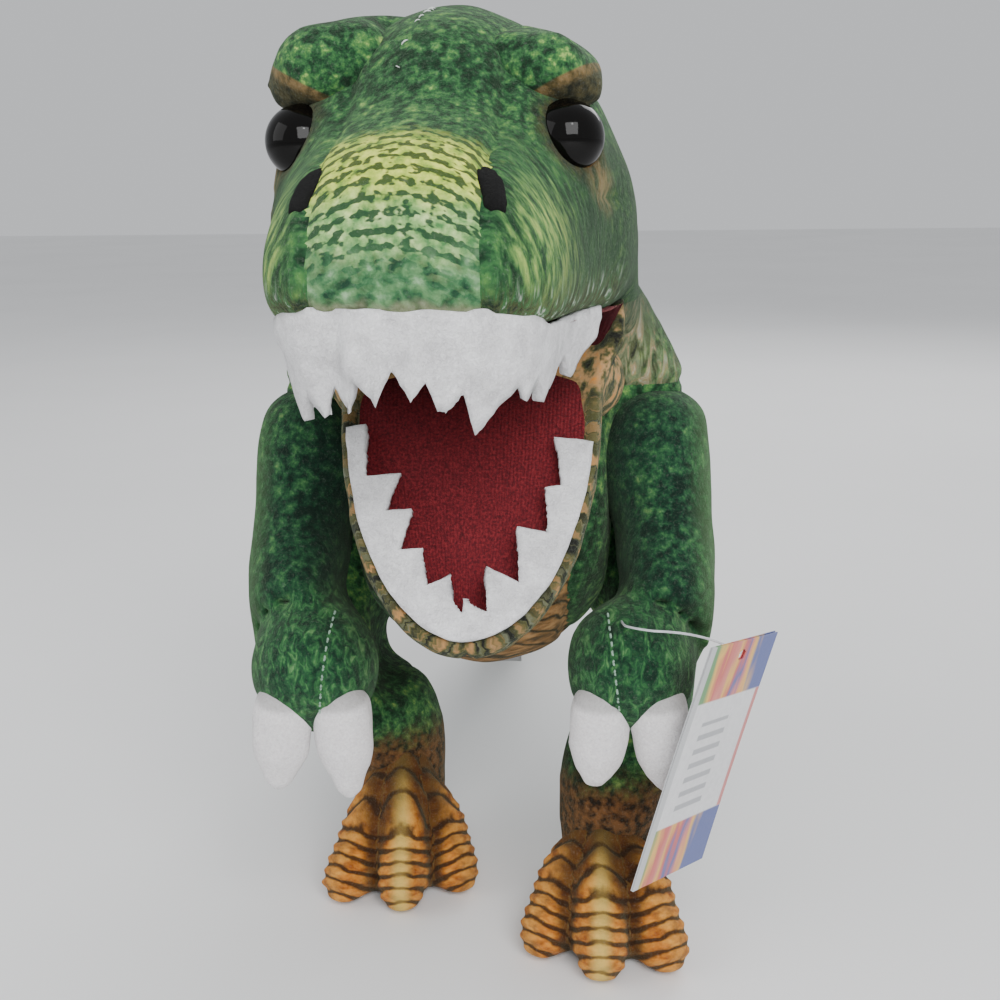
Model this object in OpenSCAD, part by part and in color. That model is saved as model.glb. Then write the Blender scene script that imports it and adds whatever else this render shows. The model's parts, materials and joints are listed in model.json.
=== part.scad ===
// Stuffed standing dinosaur: a two-legged meat eater with an open felt-toothed mouth.
// It faces -Y and stands on z = 0. Its own left side is +X.

/* [Fabric] */
// Thickness of the plush skin with its pile pressed flat
fabric = 1.6; // [1.2:0.1:2.0]
// Clearance between the skin and the filling inside it
fill_gap = 0.4; // [0.3:0.1:0.6]
// Thickness of the white felt that the teeth are cut from
felt = 2.4; // [1.6:0.2:3.0]

/* [Body] */
// Half-width of the body between the sewn-on limbs
side_flat = 47; // [45:0.5:49]
// Clearance between the body and each sewn-on part
limb_gap = 0.4; // [0.4:0.1:0.8]
// Height of the neck seam above the floor
neck_z = 225; // [222:1:227]
// Radius of the rounded body end that the tail is sewn round
tail_seat_r = 36; // [34:1:37]

/* [Head] */
// How far the head looks to its own right, in degrees
head_turn = 6.2; // [0:0.2:8]
// Diameter of the moulded safety eyes
eye_d = 20; // [18:1:22]
// Height of the roof of the mouth above the floor
palate_z = 239.6; // [238:0.2:241]

/* [Jaw] */
// Length of the lower jaw from its hinge line
jaw_length = 105; // [98:1:108]
// Half-width of the lower jaw at the cheeks
jaw_half_w = 43; // [40:1:44]
// How far the jaw hangs below level, in degrees
jaw_drop = 54; // [50:1:56]

/* [Feet] */
// How far the left foot steps ahead of the right one
stride = 44; // [30:1:46]
// Thickness of each sole
sole = 1.4; // [1:0.2:2]

/* [Swing tag] */
// Width of the card
tag_w = 45; // [40:1:48]
// Height of the card
tag_h = 88; // [80:1:90]
// Thickness of the folded card
tag_t = 0.8; // [0.6:0.1:1.2]
// Diameter of the nylon tag pin
pin_d = 0.8; // [0.6:0.1:1.0]

/* [Hidden] */
big = 400;                       // larger than any form that it cuts
ring_sides = 14;                 // sides of a soft form's rings
ring_steps = 2;                  // rings made from one row of a table
core = fabric + fill_gap;        // how deep the filling starts
neck_pivot = [0, -60, 0];        // upright line that the head turns about
jaw_hinge = [0, -98, 228];       // middle of the mouth's hinge line
jaw_notch_y = -82;               // rear wall of the space that the jaw moves in
tail_pivot = [0, 60, 0];         // upright line that the tail swings about
belly_top_cut = 80;              // legs pass under the body below this height
yoke_z = 208;                    // above the arms the shoulders are wider than side_flat
ankle = [36, -12];               // middle of the right ankle on the floor, mirrored
left_ankle = [45, -12 - stride]; // middle of the left ankle on the floor
origin_y = -47;                  // moves the middle of the length to y = 0
lining_reach = 84;               // how far round the jaw's rim the lining goes, in degrees
teeth_reach = 78;                // how far round it the teeth go

green = "darkolivegreen";
brown = "peru";
lining_red = "firebrick";
filling = "whitesmoke";

// A soft form's table has one row per ring:
// [x, back or top point (y, z), front or bottom point (y, z), half-width]
torso_rows = [
    [0, 101, 163, 99, 97, 31], [0, 72, 176, 66, 92, 38], [0, 48, 188, 28, 89, 46],
    [0, 27, 203, -12, 91, 52], [0, 12, 213, -46, 97, 55], [0, 4, 217, -70, 112, 57],
    [0, 0, 219, -80, 136, 58], [0, -2, 221, -77, 164, 59], [0, -4, 224, -71, 190, 60],
    [0, -6, 229, -67, 210, 59], [0, -8, 242, -64, 234, 57]];
head_rows = [
    [0, -8, 214, -64, 208, 56], [0, -10, 238, -76, 214, 57], [0, -22, 268, -90, 210, 57],
    [0, -44, 299, -100, 206, 57], [0, -75, 322, -108, 203, 57], [0, -106, 330, -117, 202, 55],
    [0, -130, 321, -131, 204, 51], [0, -148, 304, -147, 208, 47], [0, -167, 296, -166, 212, 43],
    [0, -182, 289, -182, 217, 38.5], [0, -190, 279, -190, 224, 31], [0, -194, 268, -194, 238, 16]];
jaw_rows = [
    [0, 6, 3, 5, -5, 30], [0, 0, 8, 2, -17, 42.5], [0, -16, 10, -16, -23, 44],
    [0, -36, 10, -36, -24, 42.5], [0, -58, 10, -58, -22, 39], [0, -76, 9, -76, -19, 33],
    [0, -90, 8, -90, -16, 24.5], [0, -99, 6, -99, -12, 15], [0, -104, 3, -104, -8, 7]];
arm_rows = [
    [62, -34, 205, -53, 206, 11], [64, -22, 198, -63, 200, 17.5], [65, -17, 182, -69, 188, 19.5],
    [65.5, -19, 163, -75, 175, 19.5], [65.5, -29, 142, -84, 163, 19.5],
    [65, -46, 122, -92, 155, 20], [62, -66, 105, -99, 149, 21.5], [58, -86, 96, -107, 143, 22.5],
    [56, -103, 94, -117, 137, 21], [55, -114, 98, -122, 130, 16], [55, -120, 106, -124, 121, 8]];
leg_rows = [
    [60, 46, 172, 8, 174, 12], [61, 58, 156, -6, 160, 20], [61, 64, 132, -15, 136, 25],
    [60, 58, 108, -30, 112, 26.5], [55, 40, 85, -40, 88, 26], [47, 20, 64, -39, 66, 22.5],
    [40, 9, 46, -34, 48, 18.5], [36, 3, 32, -28, 34, 14]];
leg_follow = [0, 0, 0, 0.15, 0.45, 0.75, 1, 1]; // share of the foot's place each leg row takes
toe_rows = [
    [0, 13, 24, 13, 4, 9], [0, 7, 40, 8, -2, 15], [0, -8, 46, -7, -4, 17], [0, -23, 38, -22, -4, 14.5],
    [0, -36, 28, -35, -3, 12.5], [0, -46, 21, -46, 0, 10], [0, -53, 14, -53, 6, 5]];
toe_turns = [-38, -3, 29];       // inner, middle and outer toe
toe_scales = [0.86, 0.98, 0.97]; // their lengths against the table
tail_rows = [
    [0, 62, 169, 62, 97, 34], [0, 98, 160, 96, 96, 31.5], [0, 134, 140, 124, 80, 28.5],
    [0, 166, 112, 152, 56, 25], [0, 196, 80, 180, 31, 21], [0, 224, 53, 210, 11, 17],
    [0, 252, 34, 242, -2, 13], [0, 276, 22, 272, -2, 8.5], [0, 290, 14, 289, 3, 4]];
claw_rows = [
    [0, 9, 8, -9, 8, 10], [0, 10, -2, -9, -2, 10.5], [0, 8, -12, -9, -11, 9],
    [0, 4, -20, -8, -19, 6.5], [0, 0, -25, -5, -24, 3]];
tag_top = [88, -110, 133];     // middle of the card's top edge
tag_lean = 15.6;               // tilt of the card's length, in degrees
tag_spin = 53;                 // turn of the card about its length, in degrees
tag_hole_r = 1.6;
tag_hole_drop = 5;             // hole below the card's top edge
pin_route = [[48, -105, 137.5], [48.3, -108.5, 137.8], [48.9, -111.2, 138], [50.4, -113.2, 138.2],
             [53, -114.8, 138.2], [57.5, -115.8, 137.9], [62.5, -115, 137.3], [67.5, -113.7, 136.3],
             [72.5, -112.5, 134.9], [77.5, -111.4, 133.1], [81.7, -110.7, 131.1], [84.6, -110.2, 129.5],
             [86.65, -110, 128.2]];

// ---- helpers ----

// Catmull-Rom value at t between b and c
function blend4(a, b, c, d, t) =
    0.5 * (2 * b + (c - a) * t + (2 * a - 5 * b + 4 * c - d) * t * t
           + (3 * b - a - 3 * c + d) * t * t * t);
function row_at(rows, i) = rows[max(0, min(len(rows) - 1, i))];
// The table with more rings between its rows
function smooth(rows, steps = ring_steps) =
    [for (i = [0 : len(rows) - 2]) for (j = [0 : steps - 1])
        blend4(row_at(rows, i - 1), rows[i], rows[i + 1], row_at(rows, i + 2), j / steps),
     rows[len(rows) - 1]];
function centre(r) = [r[0], (r[1] + r[3]) / 2, (r[2] + r[4]) / 2];
function half_height(r) = [0, (r[1] - r[3]) / 2, (r[2] - r[4]) / 2];
function ring(r, d, n) =
    let (h = half_height(r), inner = h * (norm(h) - d) / norm(h))
    [for (i = [0 : n - 1]) centre(r) + [(r[5] - d) * sin(360 * i / n), 0, 0] + inner * cos(360 * i / n)];
function shift_row(r, v) = r + [v[0], v[1], v[2], v[1], v[2], 0];
// The table with its two end rings moved inward by d
function trimmed(rows, d) =
    let (m = len(rows) - 1,
         head = centre(rows[1]) - centre(rows[0]),
         foot = centre(rows[m - 1]) - centre(rows[m]))
    [for (i = [0 : m])
        i == 0 ? shift_row(rows[i], head * d / norm(head))
        : i == m ? shift_row(rows[i], foot * d / norm(foot)) : rows[i]];

// A closed soft form through the rings of a table, d inside its surface
module loft(rows, d = 0, n = ring_sides, steps = ring_steps) {
    rings = trimmed(smooth(rows, steps), d);
    m = len(rings);
    outward = cross(half_height(rings[0]), [1, 0, 0]) * (centre(rings[1]) - centre(rings[0])) > 0;
    sides = [for (k = [0 : m - 2]) for (i = [0 : n - 1])
        let (a = k * n + i, b = k * n + (i + 1) % n)
        each [[a, b, b + n], [a, b + n, a + n]]];
    ends = [[for (i = [n - 1 : -1 : 0]) i], [for (i = [0 : n - 1]) (m - 1) * n + i]];
    faces = concat(sides, ends);
    polyhedron(points = [for (r = rings) each ring(r, d, n)],
               faces = outward ? [for (f = faces) [for (i = [len(f) - 1 : -1 : 0]) f[i]]] : faces);
}

// A block from one corner to the other
module block(low, high) {
    translate(low) cube(high - low);
}

module head_pose() {
    translate(neck_pivot) rotate([0, 0, -head_turn]) translate(-neck_pivot) children();
}

module jaw_pose() {
    translate(jaw_hinge) rotate([jaw_drop, 0, 0]) children();
}

// side is 1 for the toy's left and -1 for its right
module sided(side) {
    if (side > 0) children();
    else mirror([1, 0, 0]) children();
}

module place() {
    translate([0, origin_y, 0]) children();
}

// ---- body ----

module torso_form(d) {
    intersection() {
        loft(torso_rows, d);
        union() {
            block([-side_flat + d, -big, d], [side_flat - d, big, neck_z - d]);
            block([-big, -big, yoke_z + d], [big, big, neck_z - d]);
        }
        union() {
            block([-big, -big, -big], [big, tail_pivot[1], big]);
            translate(tail_pivot) cylinder(r = tail_seat_r - d, h = big, $fn = 64);
        }
    }
}

module torso_shell() {
    difference() {
        torso_form(0);
        torso_form(fabric);
    }
}

module belly_zone() {
    block([-30, -130, 60], [30, -34, 230]);
}

module torso_skin() {
    color(green) difference() {
        torso_shell();
        belly_zone();
    }
}

module belly_panel() {
    color(brown) intersection() {
        torso_shell();
        belly_zone();
    }
}

module torso_stuffing() {
    color(filling) torso_form(core);
}

// A blank folded tab in the seam under the tail
module care_label() {
    color("white") difference() {
        block([-11, 62, 58], [11, 63.2, 96]);
        torso_form(0);
    }
}

// ---- head ----

module head_form(d) {
    intersection() {
        difference() {
            loft(head_rows, d);
            block([-big, -big, -big], [big, jaw_notch_y + d, palate_z + d]);
        }
        block([-big, -big, neck_z + limb_gap + d], [big, big, big]);
    }
}

module head_shell() {
    difference() {
        head_form(0);
        head_form(fabric);
    }
}

module snout_zone() {
    block([-20, -230, 246], [20, -122, 340]);
}

// Local +Z is the way the eye looks
module at_eye(side) {
    translate([side * 41, -140, 291]) rotate([0, 0, side * 37]) rotate([80, 0, 0]) children();
}

module eye_space(side) {
    at_eye(side) {
        translate([0, 0, -4.4]) cylinder(d = eye_d + 0.6, h = 30, $fn = 48);
        translate([0, 0, -22]) cylinder(r = 2.9, h = 20, $fn = 32);
        translate([0, 0, -14]) cylinder(r = 9.5, h = 4, $fn = 32);
    }
}

module eye(side) {
    dome_h = 8;
    dome_r = (eye_d * eye_d / 4 + dome_h * dome_h) / (2 * dome_h);
    at_eye(side) {
        intersection() {
            translate([0, 0, dome_h - dome_r - 3]) sphere(r = dome_r, $fn = 64);
            translate([0, 0, -3]) cylinder(d = eye_d + 4, h = 12, $fn = 48);
        }
        translate([0, 0, -4]) cylinder(d = eye_d - 0.4, h = 1, $fn = 48);
        translate([0, 0, -20]) cylinder(r = 2.4, h = 16, $fn = 32);
    }
}

module eye_washer(side) {
    at_eye(side) translate([0, 0, -13]) difference() {
        cylinder(r = 9, h = 1.5, $fn = 48);
        translate([0, 0, -1]) cylinder(r = 2.42, h = 4, $fn = 32);
    }
}

module nostril_space(side) {
    translate([side * 23, -178, 277]) rotate([62, 0, side * 16])
        linear_extrude(height = 44, center = true) hull() {
            translate([0, 4]) circle(r = 3.2, $fn = 24);
            translate([0, -4]) circle(r = 3.2, $fn = 24);
        }
}

// The neck and throat are cut from another print, below the roof of the mouth
module neck_zone() {
    block([-big, -big, 0], [big, big, palate_z]);
}

module neck_skin() {
    color("tan") head_pose() intersection() {
        head_shell();
        neck_zone();
    }
}

module head_skin() {
    color(green) head_pose() difference() {
        head_shell();
        neck_zone();
        snout_zone();
        for (s = [-1, 1]) {
            eye_space(s);
            nostril_space(s);
        }
    }
}

module snout_panel() {
    color("olivedrab") head_pose() difference() {
        intersection() {
            head_shell();
            snout_zone();
        }
        for (s = [-1, 1]) {
            eye_space(s);
            nostril_space(s);
        }
    }
}

module head_stuffing() {
    color(filling) head_pose() difference() {
        head_form(core);
        for (s = [-1, 1]) eye_space(s);
    }
}

// The padded ridge over one eye
module brow(side) {
    color(green) head_pose() difference() {
        hull() {
            translate([side * 22, -132, 313]) sphere(r = 9, $fn = 14);
            translate([side * 37, -132, 312]) sphere(r = 10, $fn = 14);
            translate([side * 44, -116, 308]) sphere(r = 10, $fn = 14);
        }
        head_form(0);
        eye_space(side);
    }
}

module nostril(side) {
    color("black") head_pose() intersection() {
        head_shell();
        nostril_space(side);
        translate([0, -185, 285]) cube([90, 40, 60], center = true);
    }
}

// Plan outline of the upper lip, d inside its edge
module lip_outline(d) {
    offset(delta = -d) hull() {
        translate([0, -108]) scale([1, 0.8]) circle(r = 49, $fn = 40);
        translate([0, -154]) circle(r = 38, $fn = 40);
    }
}

module upper_teeth() {
    depth = 25;
    color("white") head_pose() difference() {
        translate([0, 0, palate_z - fabric - depth]) linear_extrude(height = depth) difference() {
            lip_outline(2);
            lip_outline(2 + felt);
            translate([-big, -119]) square([2 * big, big]);
        }
        for (i = [-5 : 6]) translate([0, -128, palate_z - fabric - depth - 0.5])
            rotate([0, 0, (i - 0.5) * 23]) rotate([90, 0, 0]) linear_extrude(height = 90)
                polygon([[-9, 0], [9, 0], [0, 15]]);
    }
}

module palate_lining() {
    color(lining_red) head_pose() translate([0, 0, palate_z - fabric]) linear_extrude(height = fabric)
        difference() {
            lip_outline(1.5);
            translate([-big, -92]) square([2 * big, big]);
        }
}

// ---- lower jaw, drawn level with its hinge line at the origin ----

module jaw_form(d) {
    difference() {
        loft(jaw_rows, d);
        block([-big, -big, -d], [big, big, big]);
    }
}

// A point of the rim's rounded U; turn runs from -90 at one cheek to 90 at the other
function rim_point(turn) = [jaw_half_w * sin(turn), -jaw_length * pow(cos(turn), 0.77)];
// The same point moved inward by d
function rim_inset(turn, d) =
    let (along = rim_point(turn + 0.5) - rim_point(turn - 0.5))
    rim_point(turn) + [-along[1], along[0]] * d / norm(along);
// The rim's outline between its two ends at turns of -reach and reach
function rim(d, reach) = [for (t = [-reach : 6 : reach]) rim_inset(t, d)];
// Inner edge of the lower teeth: each tooth steps in, then slants back towards the tip
function tooth_edge(reach) =
    [for (i = [0 : 10])
        let (t = reach * (1 - i / 5), tip = t + (t > 0 ? -1.5 : 1.5))
        each (t > 0 ? [rim_inset(t, 8), rim_inset(tip, 16)] : t < 0 ? [rim_inset(tip, 16), rim_inset(t, 8)]
              : [rim_inset(0, 10)])];

module jaw_skin() {
    color(green) jaw_pose() difference() {
        jaw_form(0);
        jaw_form(fabric);
    }
}

module jaw_stuffing() {
    color(filling) jaw_pose() jaw_form(core);
}

module jaw_lining() {
    color(lining_red) jaw_pose() linear_extrude(height = fabric) polygon(rim(3, lining_reach));
}

module lower_teeth() {
    color("white") jaw_pose() translate([0, 0, fabric]) linear_extrude(height = felt)
        polygon(concat(rim(3.5, teeth_reach), tooth_edge(teeth_reach)));
}

// ---- arms ----

module arm_form(d) {
    difference() {
        loft(arm_rows, d);
        block([-big, -84 - d, -big], [side_flat + limb_gap + d, big, big]);
    }
}

module arm_skin(side) {
    color(green) sided(side) difference() {
        arm_form(0);
        arm_form(fabric);
    }
}

module arm_stuffing(side) {
    color(filling) sided(side) arm_form(core);
}

module claw(side, x, lean) {
    color("ivory") sided(side) difference() {
        translate([x, -108, 104]) rotate([10, lean, 0]) loft(claw_rows, n = 10);
        arm_form(0);
    }
}

// ---- legs ----

function leg_table(foot) =
    [for (i = [0 : len(leg_rows) - 1])
        let (f = leg_follow[i], v = [foot[0] - ankle[0], foot[1] - ankle[1]] * f)
        shift_row(leg_rows[i], [v[0], v[1], 0])];

module foot_form(foot, d) {
    intersection() {
        union() {
            for (i = [0 : 2])
                translate([foot[0], foot[1], 0]) rotate([0, 0, toe_turns[i]])
                    scale([1, toe_scales[i], 1]) loft(toe_rows, d, n = 12, steps = 1);
        }
        block([-big, -big, sole + d], [big, big, big]);
    }
}

module leg_form(foot, d) {
    difference() {
        loft(leg_table(foot), d);
        block([-big, -big, belly_top_cut - d], [side_flat + limb_gap + d, big, big]);
    }
}

module leg_skin(side, foot) {
    color(green) sided(side) difference() {
        leg_form(foot, 0);
        leg_form(foot, fabric);
        foot_form(foot, 0);
    }
}

module leg_stuffing(side, foot) {
    color(filling) sided(side) difference() {
        leg_form(foot, core);
        foot_form(foot, 0);
    }
}

module foot_skin(side, foot) {
    color(brown) sided(side) difference() {
        foot_form(foot, 0);
        foot_form(foot, fabric);
    }
}

module foot_pellets(side, foot) {
    color("gainsboro") sided(side) foot_form(foot, core);
}

module sole_panel(side, foot) {
    color("saddlebrown") sided(side) linear_extrude(height = sole)
        for (i = [0 : 2]) translate(foot) rotate(toe_turns[i]) scale([1, toe_scales[i]]) hull() {
            circle(r = 11, $fn = 32);
            translate([0, -32]) circle(r = 9, $fn = 32);
            translate([0, -43]) circle(r = 6, $fn = 32);
        }
}

// ---- tail ----

module tail_form(d) {
    intersection() {
        difference() {
            loft(tail_rows, d);
            translate(tail_pivot) cylinder(r = tail_seat_r + limb_gap + d, h = big, $fn = 64);
        }
        block([-big, -big, d], [big, big, big]);
    }
}

module pellet_zone() {
    block([-60, 205, -10], [60, 320, 90]);
}

module tail_skin() {
    color(green) difference() {
        tail_form(0);
        tail_form(fabric);
    }
}

module tail_stuffing() {
    color(filling) difference() {
        tail_form(core);
        pellet_zone();
    }
}

module tail_pellets() {
    color("gainsboro") intersection() {
        tail_form(core);
        pellet_zone();
    }
}

// ---- swing tag ----

module hang_tag() {
    color("lightgrey") translate(tag_top) rotate([0, tag_lean, 0]) rotate([0, 0, tag_spin])
        translate([0, tag_t / 2, 0]) rotate([90, 0, 0]) linear_extrude(height = tag_t) difference() {
            translate([-tag_w / 2, -tag_h]) square([tag_w, tag_h]);
            translate([0, -tag_hole_drop]) circle(r = tag_hole_r, $fn = 32);
        }
}

// A tube through the points of a route
module tube(route, r, n = 8) {
    m = len(route);
    along = [for (i = [0 : m - 1]) let (v = route[min(m - 1, i + 1)] - route[max(0, i - 1)]) v / norm(v)];
    pts = [for (i = [0 : m - 1])
        let (t = along[i], u = cross(t, [0, 1, 0]) / norm(cross(t, [0, 1, 0])), v = cross(t, u))
        for (j = [0 : n - 1]) route[i] + r * (u * cos(360 * j / n) + v * sin(360 * j / n))];
    sides = [for (k = [0 : m - 2]) for (i = [0 : n - 1])
        let (a = k * n + i, b = k * n + (i + 1) % n) each [[b, a, b + n], [b + n, a, a + n]]];
    polyhedron(points = pts,
               faces = concat(sides, [[for (i = [0 : n - 1]) i]],
                              [[for (i = [n - 1 : -1 : 0]) (m - 1) * n + i]]));
}

module tag_pin() {
    color("white") difference() {
        tube(pin_route, pin_d / 2);
        arm_form(0);
    }
}

place() {
    torso_skin();
    belly_panel();
    torso_stuffing();
    care_label();
    head_skin();
    neck_skin();
    snout_panel();
    head_stuffing();
    brow(1);  // brow_left
    brow(-1);  // brow_right
    color("black") head_pose() eye(1);  // eye_left
    color("black") head_pose() eye(-1);  // eye_right
    color("silver") head_pose() eye_washer(1);  // eye_washer_left
    color("silver") head_pose() eye_washer(-1);  // eye_washer_right
    nostril(1);  // nostril_left
    nostril(-1);  // nostril_right
    upper_teeth();
    palate_lining();
    jaw_skin();
    jaw_stuffing();
    jaw_lining();
    lower_teeth();
    arm_skin(1);  // arm_skin_left
    arm_stuffing(1);  // arm_stuffing_left
    claw(1, 45, 4);  // claw_inner_left
    claw(1, 65, -7);  // claw_outer_left
    arm_skin(-1);  // arm_skin_right
    arm_stuffing(-1);  // arm_stuffing_right
    claw(-1, 45, 4);  // claw_inner_right
    claw(-1, 65, -7);  // claw_outer_right
    leg_skin(1, left_ankle);  // leg_skin_left
    leg_stuffing(1, left_ankle);  // leg_stuffing_left
    foot_skin(1, left_ankle);  // foot_skin_left
    foot_pellets(1, left_ankle);  // foot_pellets_left
    sole_panel(1, left_ankle);  // sole_left
    leg_skin(-1, ankle);  // leg_skin_right
    leg_stuffing(-1, ankle);  // leg_stuffing_right
    foot_skin(-1, ankle);  // foot_skin_right
    foot_pellets(-1, ankle);  // foot_pellets_right
    sole_panel(-1, ankle);  // sole_right
    tail_skin();
    tail_stuffing();
    tail_pellets();
    hang_tag();
    tag_pin();
}
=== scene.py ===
"""The looks of a stuffed standing dinosaur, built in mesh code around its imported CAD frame."""

import json
import math

import bmesh
import bpy
import numpy as np
import openvdb
from mathutils import Matrix, Vector
from mathutils.bvhtree import BVHTree


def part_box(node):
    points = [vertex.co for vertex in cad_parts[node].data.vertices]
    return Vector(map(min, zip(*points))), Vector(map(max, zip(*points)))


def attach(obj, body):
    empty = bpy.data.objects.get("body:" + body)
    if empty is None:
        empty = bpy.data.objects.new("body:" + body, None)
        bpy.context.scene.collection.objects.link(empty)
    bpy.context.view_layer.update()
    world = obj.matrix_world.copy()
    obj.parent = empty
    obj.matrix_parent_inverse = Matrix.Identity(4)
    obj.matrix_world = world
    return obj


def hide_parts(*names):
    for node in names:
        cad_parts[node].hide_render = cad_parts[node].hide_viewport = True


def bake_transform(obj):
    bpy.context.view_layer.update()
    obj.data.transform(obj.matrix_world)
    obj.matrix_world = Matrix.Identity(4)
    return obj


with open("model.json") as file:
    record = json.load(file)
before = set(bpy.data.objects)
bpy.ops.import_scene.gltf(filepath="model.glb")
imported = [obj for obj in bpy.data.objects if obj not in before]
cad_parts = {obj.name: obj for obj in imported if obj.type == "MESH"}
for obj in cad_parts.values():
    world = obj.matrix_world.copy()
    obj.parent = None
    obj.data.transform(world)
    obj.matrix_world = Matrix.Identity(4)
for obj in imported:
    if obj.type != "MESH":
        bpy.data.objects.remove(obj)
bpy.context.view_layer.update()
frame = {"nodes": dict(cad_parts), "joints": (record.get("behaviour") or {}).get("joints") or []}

# ---- the frame, in millimetres ----
# The toy is laid out as in its CAD source: it faces -Y and its own left is +X.
# Its head turns about x = 0, y = -60.
MM = 0.001
joint_at = {j["name"]: np.array(j["pos_m"]) / MM for j in frame["joints"]}
NECK = np.array([0, -60, 0])
SHIFT = np.array([0, joint_at["head_turn"][1] - NECK[1], 0])
HINGE = joint_at["jaw_hinge"] - SHIFT
HEAD_TURN = -6.2          # degrees about Z that the head is turned from straight ahead
JAW_DROP = 54             # degrees that the jaw hangs below level
PALATE_Z = 239.6          # roof of the mouth
EYE = np.array([41, -140, 291])
EYE_R = 10
SOFT_STEP = 4             # grid of a form that is inflated, then subdivided once
rng = np.random.default_rng(7)


def turn(axis, degrees):
    """3x3 rotation about X, Y or Z."""
    c, s = math.cos(math.radians(degrees)), math.sin(math.radians(degrees))
    return {"X": np.array([[1, 0, 0], [0, c, -s], [0, s, c]]),
            "Y": np.array([[c, 0, s], [0, 1, 0], [-s, 0, c]]),
            "Z": np.array([[c, -s, 0], [s, c, 0], [0, 0, 1]])}[axis]


HEAD = turn("Z", HEAD_TURN)
JAW = turn("X", JAW_DROP)


def from_head(p):
    """Points laid out on a head that looks straight ahead, to where the head is."""
    return (np.asarray(p, float) - NECK) @ HEAD.T + NECK


def to_head(p):
    return (np.asarray(p, float) - NECK) @ HEAD + NECK


def from_jaw(p):
    """Points laid out on a level jaw with its hinge line at the origin, to where the jaw is."""
    return np.asarray(p, float) @ JAW.T + HINGE


def to_jaw(p):
    return (np.asarray(p, float) - HINGE) @ JAW


def metres(p):
    return (np.asarray(p, float) + SHIFT) * MM


def millimetres(p):
    return np.asarray(p, float) / MM - SHIFT


def smoothstep(x, a, b):
    t = np.clip((x - a) / (b - a), 0, 1)
    return t * t * (3 - 2 * t)


def bell(x, width):
    return np.exp(-(x / width) ** 2)


def steps(points):
    """Distance from each point to the next."""
    return np.linalg.norm(np.diff(points, axis=0), axis=1)


def run_along(points):
    """Length of the line from its first point to each point."""
    return np.concatenate([[0], np.cumsum(steps(points))])


def spline(points, count):
    """A Catmull-Rom curve through points, resampled to equal steps."""
    p = np.array(points, float)
    p = np.vstack([2 * p[0] - p[1], p, 2 * p[-1] - p[-2]])
    out = []
    for i in range(1, len(p) - 2):
        for t in np.linspace(0, 1, 12, endpoint=False):
            a, b, c, d = p[i - 1:i + 3]
            out.append(0.5 * (2 * b + (c - a) * t + (2 * a - 5 * b + 4 * c - d) * t ** 2
                              + (3 * b - a - 3 * c + d) * t ** 3))
    out.append(p[-2])
    out = np.array(out)
    run = run_along(out)
    at = np.linspace(0, run[-1], count)
    return np.array([np.interp(at, run, out[:, k]) for k in range(out.shape[1])]).T


# ---- forms as distances on a grid, negative inside ----

def ball(p, centre, radii):
    q = (p - np.array(centre)) / np.array(radii, float)
    near = np.linalg.norm(q, axis=1)
    slope = np.linalg.norm(q / np.array(radii, float), axis=1)
    return near * (near - 1) / np.maximum(slope, 1e-9)


def bone(p, a, b, ra, rb):
    """A rod from a to b whose radius goes from ra to rb."""
    a, ab = np.array(a, float), np.array(b, float) - np.array(a, float)
    t = np.clip(((p - a) @ ab) / (ab @ ab), 0, 1)
    return np.linalg.norm(p - a - t[:, None] * ab, axis=1) - (ra + (rb - ra) * t)


def join(a, b, soft=6.0):
    """Both forms as one, with a fillet about soft wide."""
    h = np.clip(0.5 + 0.5 * (b - a) / soft, 0, 1)
    return b * (1 - h) + a * h - soft * h * (1 - h)


def carve(a, b, soft=3.0):
    """Form a without form b."""
    return -join(-a, b, soft)


class Grid:
    """Points every step millimetres from low to high."""

    def __init__(self, low, high, step=SOFT_STEP):
        self.step = step
        self.first = np.floor(np.array(low) / step).astype(int)
        self.count = np.ceil(np.array(high) / step).astype(int) - self.first + 1
        self.points = (np.indices(self.count).reshape(3, -1).T + self.first) * float(step)

    def cad(self, *nodes, local=None):
        """Distance to closed CAD solids. local moves their points before they are measured."""
        best = None
        for name in nodes:
            mesh = frame["nodes"][name].data
            mesh.calc_loop_triangles()
            points = millimetres([v.co for v in mesh.vertices])
            points = points if local is None else local(points)
            corners = np.array([t.vertices for t in mesh.loop_triangles], np.uint32)
            volume = openvdb.FloatGrid.createLevelSetFromPolygons(
                points.astype(np.float32), triangles=corners,
                transform=openvdb.createLinearTransform(voxelSize=self.step), halfWidth=10.0)
            block = np.zeros(self.count, np.float32)
            volume.copyToArray(block, ijk=tuple(int(i) for i in self.first))
            best = block if best is None else np.minimum(best, block)
        return best.reshape(-1).astype(float)

    def blur(self, distance, times=1):
        block = distance.reshape(self.count)
        for _ in range(times):
            for axis in range(3):
                low = np.concatenate([block.take([0], axis), block], axis).take(range(block.shape[axis]),
                                                                                axis)
                high = np.concatenate([block, block.take([-1], axis)], axis).take(
                    range(1, block.shape[axis] + 1), axis)
                block = (low + 2 * block + high) / 4
        return block.reshape(-1)

    def surface(self, distance):
        """Points and faces of the surface where the distance is zero."""
        volume = openvdb.FloatGrid(float(10 * self.step))
        volume.copyFromArray(distance.reshape(self.count).astype(np.float32),
                             ijk=tuple(int(i) for i in self.first))
        volume.transform = openvdb.createLinearTransform(voxelSize=self.step)
        points, triangles, quads = volume.convertToPolygons(isovalue=0.0, adaptivity=0.0)
        faces = [tuple(int(i) for i in f) for f in quads] + [tuple(int(i) for i in f) for f in triangles]
        points = np.array(points, float)
        first = np.array([points[list(f[:3])] for f in faces])
        volume_sign = np.einsum("ij,ij->i", first[:, 0], np.cross(first[:, 1], first[:, 2])).sum()
        if volume_sign < 0:
            faces = [f[::-1] for f in faces]
        return points, faces


# ---- meshes ----

SIDES = ((1, "left"), (-1, "right"))


def place_object(name, data):
    """A new object in the scene."""
    made = bpy.data.objects.new(name, data)
    bpy.context.scene.collection.objects.link(made)
    return made


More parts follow.
